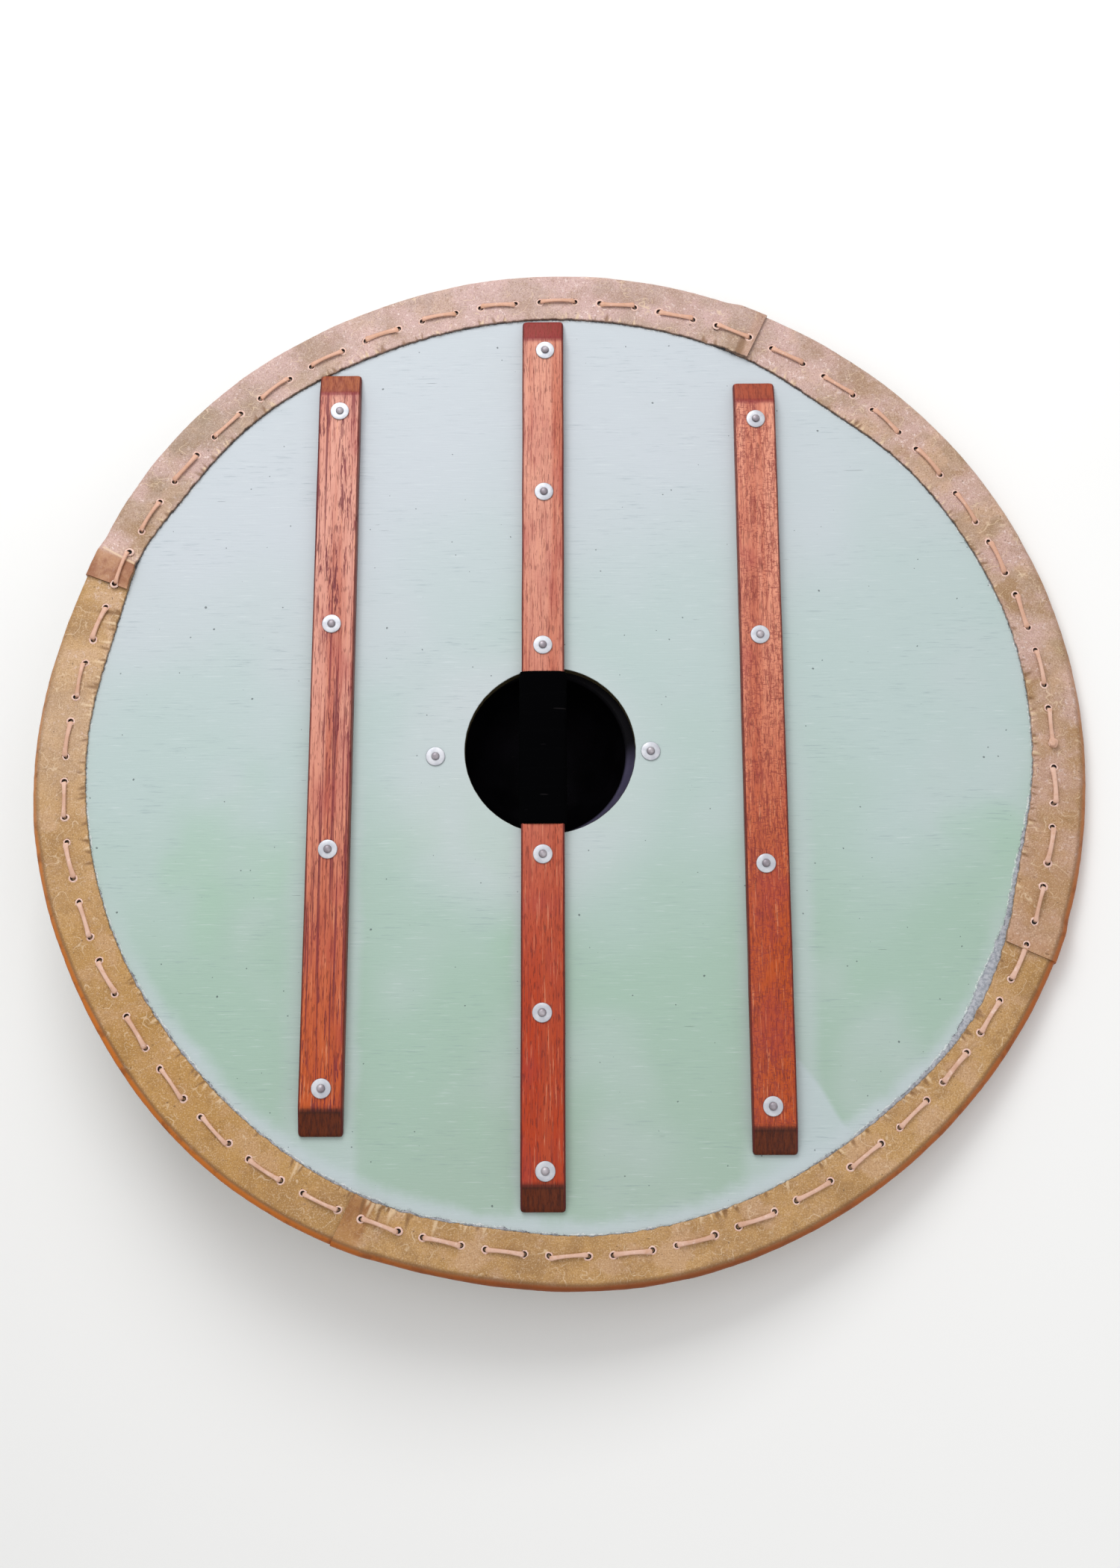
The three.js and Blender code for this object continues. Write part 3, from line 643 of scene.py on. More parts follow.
def make_binding_finish():
    tape = Finish("black_tape", roughness=0.9, specular_ior_level=0.03)
    weave = tape.noise(900, detail=2)
    scuff = tape.noise((40, 420, 60), detail=1, shift=8).rises(0.73, 0.77)
    tape.base = tape.mix(scuff * 0.5, colour(1, 1, 2), colour(40, 36, 38))
    tape.set(base_color=tape.base, roughness=0.85 + weave * 0.1)
    tape.bump(weave, 0.12)
    return tape.material


def make_binding():
    middle = (wrap_low + wrap_high) / 2
    reach = (wrap_high - wrap_low) / 2 - np.array([TAPE_STEP, 0, TAPE_STEP])
    around = 48
    along = np.linspace(wrap_low[1], wrap_high[1], 150)
    points = []
    for y in along:
        end = min(1.0, min(y - wrap_low[1], wrap_high[1] - y) / 1.5)
        for j in range(around):
            turn = 2 * math.pi * j / around
            c, s = math.cos(turn), math.sin(turn)
            x = math.copysign(abs(c) ** ROUNDING, c)
            z = math.copysign(abs(s) ** ROUNDING, s)
            saw = (((y - wrap_low[1]) / TURN_PITCH + j / around * TAPE_SLANT) % 1.0) ** 1.5
            uneven = 0.12 * noise.noise(Vector((x * 3, y * 0.2, z * 3)))
            grow = TAPE_STEP * saw + uneven - 0.6 * (1 - end)
            points.append((middle[0] + x * (reach[0] + grow), y, middle[2] + z * (reach[2] + grow)))
    return new_mesh("grip_binding", points, bar_faces(len(along), around))


finish_piece(make_binding(), make_binding_finish(), ["grip_wrap"])

# %% [markdown]
# ## The boss
# The boss was hammered from one round sheet: a flat flange, a short neck and a dome. A round shape is
# one profile turned about an axis, and slow noise on the dome gives the hammer's marks.

# %% Boss
BOSS_CENTRE = (-12.3, 1.0)
FLANGE_RADIUS = 104.0
OPENING_RADIUS = 68.3
SHEET = 2.0
NECK_HEIGHT = 15.0
NECK_TAPER = 2.0
DOME_HEIGHT = 46.0
FLANGE_GAP = 0.3
FLANGE_BACK = -BOARD_THICKNESS - FLANGE_GAP
DENT = 0.35
DENT_SIZE = 11.0


def dome_profile(offset, steps=20):
    """Radius and height of the dome from its top to the neck, on the outer or the inner side."""
    edge = OPENING_RADIUS - NECK_TAPER + offset
    height = DOME_HEIGHT + offset
    ball = (edge**2 + height**2) / (2 * height)
    base = FLANGE_BACK - NECK_HEIGHT
    turns = np.linspace(0.02, 1, steps) * math.asin(edge / ball)
    return [(ball * math.sin(t), base - height + ball * (1 - math.cos(t))) for t in turns]


def make_boss_finish():
    iron = Finish("black_iron", roughness=0.45, specular_ior_level=0.1)
    patina = iron.noise(30, detail=4)
    fine = iron.noise(420, detail=3, shift=2)
    iron.base = iron.mix(patina.rises(0.35, 0.7), colour(9, 8, 11), colour(17, 15, 20))
    iron.coat(fine.rises(0.64, 0.74) * 0.4, 44, 40, 40)
    flange = iron.z.rises((FLANGE_BACK - 2.5) * MM, (FLANGE_BACK - 0.3) * MM)
    # The flange's bare inner ring is painted a lighter purple-grey on one side, as painted light falling in
    # through the hand hole
    lit_side = (iron.x - BOSS_CENTRE[0] * MM - (iron.y - BOSS_CENTRE[1] * MM) * 1.6).rises(0.055, 0.095)
    lit_flange_tone = iron.mix(patina.rises(0.4, 0.6), colour(66, 62, 84), colour(80, 76, 98))
    iron.coat(flange * lit_side, lit_flange_tone)
    roughness = 0.35 + patina * 0.3 + flange * 0.3
    iron.set(base_color=iron.base, roughness=roughness, metallic=0.75 - flange * 0.5)
    iron.bump(fine * 0.2 + patina, 0.5)
    return iron.material


def make_boss():
    front = FLANGE_BACK - SHEET
    outside = dome_profile(SHEET)
    inside = dome_profile(0.0)
    outer_foot = [(OPENING_RADIUS + SHEET, front - 2.0), (OPENING_RADIUS + SHEET + 2.0, front)]
    rim = [(FLANGE_RADIUS - 0.6, front), (FLANGE_RADIUS, front + 0.6)]
    rim += [(FLANGE_RADIUS, FLANGE_BACK - 0.6), (FLANGE_RADIUS - 0.6, FLANGE_BACK)]
    inner_foot = [(OPENING_RADIUS + 2.0, FLANGE_BACK), (OPENING_RADIUS, FLANGE_BACK - 2.0)]
    profile = outside + outer_foot + rim + inner_foot + inside[::-1]
    segments = 120
    points = []
    for i in range(segments):
        turn = 2 * math.pi * i / segments
        for r, z in profile:
            x, y = r * math.cos(turn), r * math.sin(turn)
            dent = DENT * noise.noise(Vector((x, y, z)) / DENT_SIZE)
            dent *= min(1.0, max(0.0, (front - 1 - z) / 8))
            points.append((BOSS_CENTRE[0] + x, BOSS_CENTRE[1] + y, z + dent))
    return new_mesh("boss_iron", points, turned_faces(segments, len(profile)))


finish_piece(make_boss(), make_boss_finish(), ["boss"])

# %% [markdown]
# ## Rivets and washers
# Sixteen rivets hold the shield together, each with a round washer on the back. Geometry Nodes suit
# what repeats: one rivet is turned once, and a tree places a copy on each point of a small cloud.
# The points come from the CAD's washers, so every rivet goes where the frame has it.

# %% Geometry Nodes helper
def copy_tree(name, prototype, material):
    """A tree that puts a copy of the prototype on every point, turned and stretched by attributes."""
    tree = bpy.data.node_groups.new(name, "GeometryNodeTree")
    tree.interface.new_socket("Geometry", in_out="INPUT", socket_type="NodeSocketGeometry")
    tree.interface.new_socket("Size", in_out="INPUT", socket_type="NodeSocketFloat").default_value = 1.0
    tree.interface.new_socket("Geometry", in_out="OUTPUT", socket_type="NodeSocketGeometry")

    incoming = add_node(tree, "NodeGroupInput")
    shape = add_node(tree, "GeometryNodeObjectInfo", {"transform_space": "ORIGINAL"}, {"Object": prototype})
    turn, stretch = (add_node(tree, "GeometryNodeInputNamedAttribute", {"data_type": "FLOAT_VECTOR"},
                              {"Name": mark}).outputs[0] for mark in ("turn", "stretch"))
    size = add_node(tree, "ShaderNodeVectorMath", {"operation": "SCALE"},
                    {0: stretch, "Scale": incoming.outputs["Size"]})
    copies = add_node(tree, "GeometryNodeInstanceOnPoints", {}, {
        "Points": incoming.outputs["Geometry"], "Instance": shape.outputs["Geometry"],
        "Rotation": turn, "Scale": size.outputs[0]})
    real = add_node(tree, "GeometryNodeRealizeInstances", {}, {0: copies.outputs[0]})
    inputs = {"Geometry": real.outputs[0], "Material": material}
    painted = add_node(tree, "GeometryNodeSetMaterial", {}, inputs)
    add_node(tree, "NodeGroupOutput", {}, {0: painted.outputs[0]})
    return tree


def place_copies(name, shape, material, slot, places, turns, stretches, nodes=(), size=1.0, **marks):
    """One plain piece out of copies of a shape at places of the upright shield, all in millimetres."""
    prototype = new_object(name + "_shape", bpy.data.meshes.new(name + "_shape"))
    prototype.data.from_pydata([Vector(p) for p in shape[0]], [], shape[1])
    prototype.data.shade_smooth()
    add_marks(prototype, marks)
    cloud = bpy.data.meshes.new(name + "_points")
    cloud.from_pydata([Vector(p) for p in places], [], [])
    for mark, values in (("turn", turns), ("stretch", stretches)):
        cloud.attributes.new(mark, "FLOAT_VECTOR", "POINT").data.foreach_set("vector", np.ravel(values))
    holder = new_object(name + "_holder", cloud)
    modifier = holder.modifiers.new("copies", "NODES")
    modifier.node_group = copy_tree(name + "_copies", prototype, material)
    sockets = modifier.node_group.interface.items_tree
    modifier[next(s.identifier for s in sockets if s.name == "Size")] = size
    mesh = bpy.data.meshes.new_from_object(holder.evaluated_get(bpy.context.evaluated_depsgraph_get()))
    bpy.data.objects.remove(holder)
    bpy.data.objects.remove(prototype)
    mesh.transform(PLACE @ Matrix.Scale(MM, 4))
    mesh.set_sharp_from_angle(angle=SHARP)
    mesh.name = name
    finish_piece(new_object(name, mesh), material, nodes)


def turned(profile, segments):
    """Points and faces of a profile of radius and height turned about the upright axis."""
    points = [(r * math.cos(t), r * math.sin(t), z)
              for t in (2 * math.pi * i / segments for i in range(segments)) for r, z in profile]
    return points, turned_faces(segments, len(profile))


print("a six-sided prism has", len(turned([(1, 0), (1, 1)], 6)[1]), "faces")

# %% [markdown]
# Zinc is bright when new and dulls in blotches. Where a washer meets the paint and where a rivet meets
# its washer, those points carry a mark that darkens the finish there as painted shade. The rivets had
# the hammer on them and are greyer than the washers.

# %% Zinc finish
def make_zinc(name, pale, dull, shade_share):
    zinc = Finish(name, roughness=0.4, metallic=0.45)
    fine = zinc.noise(300, detail=3)
    blotch = zinc.noise(120, detail=2, shift=6)
    zinc.base = zinc.mix(blotch.rises(0.35, 0.65), pale, dull)
    # Painted shade: the marked ring at a washer's edges and at a rivet's foot is darkened
    zinc.coat(zinc.mask("dirt") * shade_share, 96, 96, 104)
    zinc.set(base_color=zinc.base, roughness=0.36 + fine * 0.22)
    zinc.bump(fine, 0.06)
    return zinc.material


bright_zinc = make_zinc("bright_zinc", colour(206, 207, 213), colour(186, 188, 196), 0.5)
grey_zinc = make_zinc("grey_zinc", colour(186, 180, 186), colour(146, 138, 146), 0.8)
print("zinc of", bright_zinc.name, "and", grey_zinc.name)

# %% Washers and rivets
WASHER_RADIUS = 8.0
WASHER_SIDES = 28
RIVET_SIDES = 20
joints = [name.removeprefix("washer_") for name in frame["nodes"] if name.startswith("washer_")]
random.seed(5)
centres = {name: (sum(upright_box("washer_" + name)) / 2) for name in joints}
flat_turns = [(0, 0, random.uniform(0, 2 * math.pi)) for _ in joints]

washer_profile = [(2.6, 0.6), (4.1, 0.62), (6.9, 0.55), (7.7, 0.35), (WASHER_RADIUS, 0.0),
                  (WASHER_RADIUS, -0.45), (7.8, -0.6), (2.6, -0.6)]
washer_profile.reverse()
# The washer's inner and outer edges carry the painted shade mark
dirty = [1.0 if r > 7.9 or r < 4.0 else 0.0 for r, _ in washer_profile] * WASHER_SIDES
places, sizes = [centres[n] for n in joints], [(1, 1, 1)] * len(joints)
place_copies("washers", turned(washer_profile, WASHER_SIDES), bright_zinc, "zinc",
             places, flat_turns, sizes, ["washer_" + n for n in joints], dirt=dirty)

tail_profile = [(2.4, -0.7), (2.6, 0.55), (3.3, 0.65), (3.35, 1.2),
                (3.05, 1.9), (2.4, 2.5), (1.3, 2.9), (0.35, 3.0)]
dirty = [1.0 if z < 1.5 else 0.0 for _, z in tail_profile] * RIVET_SIDES
tilts = [(random.uniform(-0.05, 0.05), random.uniform(-0.05, 0.05), z) for _, _, z in flat_turns]
place_copies("rivet_tails", turned(tail_profile, RIVET_SIDES), grey_zinc, "zinc",
             places, tilts, sizes, ["rivet_" + n for n in joints], dirt=dirty)

heads_at = [(*centres[n][:2], float(upright_box("rivet_" + n)[0][2])) for n in joints]
head_profile = [(0.4, 0.0), (2.6, 0.15), (4.6, 0.8), (5.9, 1.9), (6.5, 2.9), (6.2, 3.2)]
place_copies("rivet_heads", turned(head_profile, RIVET_SIDES), grey_zinc, "zinc",
             heads_at, flat_turns, sizes)

# %% [markdown]
# ## The leather edge
# Each strip of rawhide was folded wet over the edge of the board and dried hard. Its section is a
# narrow U, so we sweep that U round the shield on a fine grid and then work the surface: slow waves,
# short wrinkles where the inner edge had to shrink, dimples round the lace holes, and a lifted end
# where one strip laps over the next.

# %% Lacing positions
STITCH_COUNT = 50
STITCH_LENGTH = 27.5
LACE_INSET = 26.5
FIRST_STITCH = 4.1
STITCH_DRIFT = 1.4
DRIFT_TOWARDS = 205
LACE_THICKNESS = 1.7
LEATHER = 2.2
GAP = 0.3
LEATHER_BACK = GAP + LEATHER
LEATHER_FRONT = -BOARD_THICKNESS - GAP - LEATHER


def lace_radius(angle):
    return SHIELD_RADIUS + out_of_round(EDGE_FEATURES, angle) - LACE_INSET


def stitch_centre(i):
    even = FIRST_STITCH + 360 * i / STITCH_COUNT
    return even + STITCH_DRIFT * math.cos(math.radians(even - DRIFT_TOWARDS))


half_stitch = math.degrees(STITCH_LENGTH / 2 / lace_radius(0))
stitches = [stitch_centre(i) for i in range(STITCH_COUNT)]
hole_shift = math.degrees((LACE_THICKNESS / 2 + 0.7) / lace_radius(0))
hole_angles = [a + side * (half_stitch + hole_shift) for a in stitches for side in (-1, 1)]
holes = np.array([polar(lace_radius(a), a)[:2] for a in hole_angles])
print(len(holes), "lace holes")

# %% [markdown]
# Rawhide dries to many tones: pinkish with a pale bloom on the top and right strips, golden on the
# left and bottom ones. We lay drifts, bloom and grain over clouds of two tones, and marks on the mesh
# say where glue, creases and the rubbed outer edge are. It is all noise, as no hide repeats itself.

# %% Rawhide
def lay_drifts(hide, warmth):
    """Slow drifts of tone, which also follow the place on the shield, with painted glare paler and pinker at
    the top.
    """
    drifts = hide.noise(26, detail=5, roughness=0.6, shift=90)
    hide.coat(drifts.rises(0.52, 0.62) * 0.6, 154, 116, 70)
    hide.coat(drifts.rises(0.48, 0.38) * 0.5, 206, 168, 138)
    hide.coat(hide.y.rises(0.14, -0.1) * warmth, 174, 128, 74)
    # Painted glare: paler and pinker at the top of the rim
    hide.coat(hide.y.rises(0.25, 0.42) * 0.35, 190, 166, 176)
    far_left = hide.x.rises(-0.14, -0.3)
    hide.coat(far_left * hide.y.rises(0.15, 0.28) * 0.5, 146, 128, 116)
    hide.coat(far_left * hide.y.rises(-0.08, -0.24) * 0.4, 178, 128, 44)
    hide.coat(far_left * hide.y.near(0.03, 0.12) * 0.4, 206, 178, 158)


def lay_bloom(hide, mottle, flecks, bloom_colour, bloom_share):
    """A pale bloom in fine flecks, thickest in patches, and fine dark grain over all."""
    patches = hide.noise(22, detail=3, shift=5).rises(0.42, 0.62)
    bloomed = (0.35 + hide.y.rises(-0.2, 0.15) * 0.65) * bloom_share
    hide.coat(patches * bloomed * 0.6, bloom_colour)
    streaky = hide.noise(300, detail=4, roughness=0.75, shift=50).rises(0.56, 0.66)
    hide.coat(streaky * (0.25 + patches * 0.75) * bloomed, 238, 218, 214)
    hide.coat(mottle.rises(0.56, 0.72) * 0.3, 146, 112, 74)
    hide.coat(flecks.rises(0.54, 0.68) * 0.4, 134, 98, 64)
    grain = hide.noise(900, detail=2, roughness=0.6, shift=80)
    hide.coat(grain.rises(0.52, 0.66) * 0.4, 142, 106, 70)
    hide.coat(grain.rises(0.46, 0.34) * 0.35, 232, 206, 176)
    veins = hide.noise(50, detail=2, shift=70).near(0.5, 0.014) * mottle.rises(0.46, 0.58)
    hide.coat(veins * 0.5, 234, 208, 176)
    pricks = hide.noise(330, detail=0, shift=60).rises(0.80, 0.84)
    hide.coat(pricks * 0.5, 84, 60, 40)


# %% [markdown]
# Glue and handling mark the leather where the mesh says so: brown bands by the seams, painted shade in
# the grooves and painted highlight on the ridges of the creases, a rubbed warm outer edge that is
# painted darker towards the bottom as painted shade, and a painted shadow line along the cut inner edge.

# %% Glue and edges, and the two hides
def lay_edges(hide, clouds, mottle):
    glue = hide.mix(mottle.rises(0.4, 0.62), colour(176, 122, 74), colour(146, 86, 44))
    hide.coat(hide.mask("band") * (0.55 + mottle * 0.45), glue)
    # Painted shade in the creases' grooves and painted highlight on their ridges
    hide.coat(hide.mask("groove").rises(0.12, 0.8) * 0.7, 122, 84, 48)
    hide.coat(hide.mask("ridge").rises(0.25, 0.9) * 0.6, 232, 204, 168)
    # The outer edge: a rubbed warm tone, painted darker towards the bottom as painted shade
    low = hide.y.rises(0.3, -0.25)
    reach = (hide.mask("edge") + low * 0.35 + (clouds - 0.5) * 0.3)
    hide.coat(reach.rises(0.55, 1.05) * low * 0.75, 110, 70, 34)
    warm = hide.mix(hide.x.rises(-0.3, 0.0), colour(200, 110, 26), colour(136, 66, 16))
    warm = hide.mix(hide.x.rises(0.1, 0.3) * 0.8, warm, colour(174, 92, 30))
    warm = hide.mix(low, colour(198, 148, 104), warm)
    warm = hide.mix(mottle.rises(0.50, 0.62) * 0.6, warm, colour(126, 62, 20))
    hide.coat(reach.rises(0.95, 1.35) * 0.95, warm)
    # Painted shadow line along the cut inner edge, stronger at the top
    hide.coat(hide.mask("cut") * (0.4 + hide.y.rises(0.1, 0.25) * 0.4), 96, 72, 56)


def make_rawhide(name, pale, deep, olive, bloom_colour, bloom_share, warmth):
    hide = Finish(name, roughness=0.5, specular_ior_level=0.35)
    clouds = hide.noise(14, detail=4, roughness=0.6)
    mottle = hide.noise(60, detail=5, roughness=0.68, shift=3)
    flecks = hide.noise(420, detail=3, roughness=0.7, shift=8)
    hide.base = hide.mix((clouds * 0.5 + mottle * 0.5).rises(0.40, 0.64), pale, deep)
    hide.coat(hide.noise(17, detail=3, shift=40).rises(0.54, 0.68) * 0.6, olive)
    lay_drifts(hide, warmth)
    lay_bloom(hide, mottle, flecks, bloom_colour, bloom_share)
    lay_edges(hide, clouds, mottle)
    hide.set(base_color=hide.base, roughness=0.42 + mottle * 0.25)
    hide.bump(mottle * 0.7 + flecks * 0.25, 0.35)
    return hide.material


PINK_TONES = colour(188, 156, 136), colour(164, 134, 108), colour(156, 132, 92), colour(214, 178, 178)
GOLDEN_TONES = colour(192, 150, 94), colour(166, 126, 76), colour(160, 120, 58), colour(206, 170, 136)
pink_hide = make_rawhide("pink_rawhide", *PINK_TONES, bloom_share=0.85, warmth=0.6)
golden_hide = make_rawhide("golden_rawhide", *GOLDEN_TONES, bloom_share=0.42, warmth=0.15)
print(len(pink_hide.node_tree.nodes), "nodes in each hide")

# %% [markdown]
# Four strips go round the shield, and each end lies over its neighbour or under it. Brown bands of
# glue show by the seams, and creases near them. All are placed by their angle round the shield, in
# degrees from the right.

# %% Strips and seams
LAP = 3.0
LAP_RISE = 2.2
OUTWARD_SHARE = 0.4
LEG_STEPS = 34
BEND_STEPS = 6
BEND = 4.2
LIFT = LEATHER + GAP
STRIPS = [
    ("rim_strip_top", 65.0, 158.5, True, True, pink_hide),
    ("rim_strip_left", 158.5, 245.8, False, False, golden_hide),
    ("rim_strip_bottom", 245.8, 336.0, True, False, golden_hide),
    ("rim_strip_right", 336.0, 425.0, True, False, pink_hide),
]
# Brown bands by the seams: strip, where each starts and ends, and how strong it is
BANDS = [("rim_strip_top", 155.0, 160.0, 1.0), ("rim_strip_bottom", 240.0, 248.6, 0.7),
         ("rim_strip_right", 330.0, 337.4, 0.3), ("rim_strip_top", 60.0, 66.2, 0.35)]
# Long creases: angle, width in degrees, depth in millimetres, reach in from the inner edge, slant
LONG_CREASES = [(161.6, 0.22, -0.7, 22, 0.03), (163.0, 0.15, 0.4, 16, 0.02), (247.2, 0.16, -0.5, 24, 0.02),
                (248.4, 0.18, 0.5, 20, -0.01), (249.3, 0.15, -0.5, 22, 0.01), (250.6, 0.2, 0.5, 17, 0.0),
                (252.6, 0.2, -0.5, 15, 0.01), (255.8, 0.18, 0.45, 16, 0.0), (238.4, 0.14, 0.4, 22, 0.02),
                (66.3, 0.4, -0.6, 24, 0.0), (155.1, 0.13, 0.3, 70, -0.01), (165.5, 0.16, 0.45, 12, 0.02),
                (166.4, 0.14, -0.4, 10, 0.0), (168.2, 0.15, 0.4, 14, 0.01), (171.5, 0.16, -0.45, 12, 0.0),
                (173.9, 0.14, 0.4, 16, -0.01)]
CREASE_CLUSTERS = 95
for name, start, end, *_ in STRIPS:
    print(name, "spans", round(end - start, 1), "degrees")

# %% [markdown]
# Where the inner edge had to shrink, the leather creased. A few long creases are listed one by one, as
# the photo has them, and clusters of short ones are drawn at random.

# %% Creases
random.seed(11)


def draw_creases(clusters):
    """Short creases along the inner edge, in clusters, as the long ones are written."""
    creases = []
    for _ in range(clusters):
        middle = random.uniform(0, 360)
        for _ in range(random.choice((1, 2, 3, 5))):
            creases.append((middle + random.gauss(0, 1.6), random.uniform(0.07, 0.2),
                            random.choice((-1, 1)) * random.uniform(0.25, 0.7),
                            random.uniform(3, 9), random.uniform(-0.05, 0.05)))
    return creases


creases = LONG_CREASES + draw_creases(CREASE_CLUSTERS)
print(len(creases), "creases")

# %% [markdown]
# The U of each section is known by the place of its points and by the way out at each of them, so
# the unevenness of the surface is one push along that way.

# %% Sections
def smooth(value, low, high):
    """0 at low and 1 at high, with soft ends."""
    t = np.clip((value - low) / (high - low), 0, 1)
    return t * t * (3 - 2 * t)


def lifted(angle, start, end, lift_start, lift_end):
    """How much of the full lift a strip has, near an end that lies over its neighbour."""
    past = min(angle - start if lift_start else 999, end - angle if lift_end else 999)
    return float(smooth(past, LAP + LAP_RISE, LAP))


def strip_section(inner, outer, back, front):
    """The U of one section: radius and height of each point, and its way out."""
    run = np.linspace(0, 1, LEG_STEPS)
    flat = outer - BEND

    def bend(level, first):
        turns = np.radians([first + 90 * i / BEND_STEPS for i in range(1, BEND_STEPS)])
        out_r, out_z = np.cos(turns), np.sin(turns)
        return list(zip(flat + BEND * out_r, level + BEND * out_z, out_r, out_z))

    out = [(inner + (flat - inner) * t, front, 0, -1) for t in run]
    out += bend(front + BEND, -90)
    out += [(outer, front + BEND + (back - front - 2 * BEND) * t, 1, 0) for t in np.linspace(0, 1, 4)]
    out += bend(back - BEND, 0)
    out += [(flat + (inner + 0.6 - flat) * t, back, 0, 1) for t in run]
    out.append((inner + 0.1, back - 0.5, -1, 0.5))
    floor = outer - LEATHER - 1.5
    out += [(inner, back - LEATHER + 0.1, 0, 0), (floor, back - LEATHER, 0, 0)]
    out += [(floor, front + LEATHER, 0, 0), (inner, front + LEATHER, 0, 0)]
    return np.array(out)


def crease_heights(angle, from_trim):
    """Height of the creases at points of one section, and how much of it is ridge and groove."""
    height, ridge, groove = (np.zeros(len(from_trim)) for _ in range(3))
    for at, width, depth, reach, slant in creases:
        away = (angle - at + 180) % 360 - 180
        if abs(away) > 3:
            continue
        shape = np.exp(-(((away - slant * from_trim) / width) ** 2) / 2) * smooth(from_trim, reach * 1.6, 0)
        height += depth * shape
        if depth > 0:
            ridge = np.maximum(ridge, shape)
        else:
            groove = np.maximum(groove, shape)
    return height, ridge, groove


def surface_waves(points):
    """Slow and quick unevenness of dried rawhide."""
    return np.array([noise.noise(Vector(p / 26)) * 0.4 + noise.noise(Vector(p / 6)) * 0.18 for p in points])


section = strip_section(SHIELD_RADIUS - RIM_WIDTH, SHIELD_RADIUS, LEATHER_BACK, LEATHER_FRONT)
print(len(section), "points in each section")

# %% [markdown]
# Now the U is swept round the shield. Round each lace hole the leather is dimpled, with a pit in the
# middle that takes the hole's cup, and the free ends of the strips curl up a little.

# %% Strips
# Degrees from one section to the next, then millimetres for the pits, the dimples and the curled ends,
# and at last the degrees in which a curl dies away
STATION = 0.15
HOLE_PIT = 2.7
PIT_DEPTH = 2.6
FRONT_PIT_DEPTH = 3.2
DIMPLE = 0.35
DIMPLE_REACH = 9.0
LIP_AT = 3.4
LIP_WIDTH = 1.6
PRESSED = 1.2
CURL = 0.9
CURL_LENGTH = 30.0
CURL_DECAY = 0.45
HIDE_SHARP = math.radians(60)


def pushed_out(angle, points, from_trim, out_r, out_z, height, curl):
    """How far the surface at points of one section stands out of its plain U."""
    low, high = batten_boxes["batten_left"]
    on_flat = np.abs(out_z) > 0.99
    xy = points[:, :2]
    nearest = np.sqrt(((xy[:, None, :] - holes[None]) ** 2).sum(-1)).min(axis=1)
    lip = DIMPLE * np.exp(-(((nearest - LIP_AT) / LIP_WIDTH) ** 2))
    lip -= DIMPLE * np.exp(-((nearest / DIMPLE_REACH) ** 2))
    push = surface_waves(points) + np.where(on_flat, lip, 0)
    push += np.where(out_z > 0.99, height + curl * smooth(from_trim, CURL_LENGTH, 0), 0)
    pit = np.where(out_z < 0, -FRONT_PIT_DEPTH, -PIT_DEPTH)
    push = np.where(on_flat & (nearest < HOLE_PIT), pit, push)
    push = np.where((out_r == 0) & (out_z == 0), 0, push)
    push = np.where(from_trim < 1.5, np.maximum(push, -0.1), push)
    # The left batten's upper end reaches over the leather, which is pressed down under it
    under = np.abs(xy[:, 0] - (low[0] + high[0]) / 2) < (high[0] - low[0]) / 2 - 0.2
    under &= (xy[:, 1] > 0) & (xy[:, 1] < high[1] - 0.2) & (out_z > 0.9)
    return np.where(under, np.minimum(push, -PRESSED), push)


def make_strip(name, start, end, lift_start, lift_end):
    first = start if lift_start else start - LAP
    last = end if lift_end else end + LAP
    rows, marks = [], {mark: [] for mark in ("edge", "ridge", "groove", "band", "cut")}
    for angle in np.arange(first, last + STATION / 2, STATION):
        lift = LIFT * lifted(angle, start, end, lift_start, lift_end)
        outer = SHIELD_RADIUS + out_of_round(EDGE_FEATURES, angle) + lift * OUTWARD_SHARE
        inner = trim_radius(angle) + noise.noise(Vector((angle * 0.9, 3.0, 0)))
        inner += 0.6 * noise.noise(Vector((angle * 4, 9.0, 0)))
        r, z, out_r, out_z = strip_section(inner, outer, LEATHER_BACK + lift, LEATHER_FRONT - lift).T
        from_trim = r - inner
        direction = np.array(polar(1, angle)[:2])
        height, ridge, groove = crease_heights(angle, from_trim)
        on_back = out_z > 0.99
        curl = sum(CURL * math.exp(-abs(angle - edge_at) / CURL_DECAY)
                   for lifts, edge_at in ((lift_start, start), (lift_end, end)) if lifts)
        points = np.column_stack([direction * r[:, None], z])
        push = pushed_out(angle, points, from_trim, out_r, out_z, height, curl)
        rows.append(np.column_stack([direction * (r + out_r * push)[:, None], z + out_z * push]))

        band = max([share * smooth(angle, a - 0.3, a + 0.4) * smooth(angle, b + 0.3, b - 0.4)
                    for strip, a, b, share in BANDS if strip == name], default=0.0)
        marks["edge"].append(smooth(r, outer - 11, outer - 1))
        marks["ridge"].append(ridge * on_back)
        marks["groove"].append(groove * on_back)
        marks["band"].append(np.full(len(r), band))
        marks["cut"].append(((from_trim < 0.3) & (z > 0)).astype(float))
    faces = bar_faces(len(rows), len(rows[0]))
    strip = new_mesh(name + "_hide", np.concatenate(rows), faces, sharp=HIDE_SHARP)
    add_marks(strip, marks)
    return strip


for name, start, end, lift_start, lift_end, hide in STRIPS:
    finish_piece(make_strip(name, start, end, lift_start, lift_end), hide, [name])

# %% [markdown]
# ## The lacing
# The thong shows as fifty short stitches on the back and fifty on the front. One stitch is a flat
# strip that comes up out of a hole, lies on the leather and goes down the next hole. The tree copies
# it a hundred times, and each copy turns with the edge. On the back, where the maker pulled the thong
# from hole to hole, it also has a small error of the hand.

# %% Thong
LACE_WIDTH = 3.9
THONG_BOW = 0.5


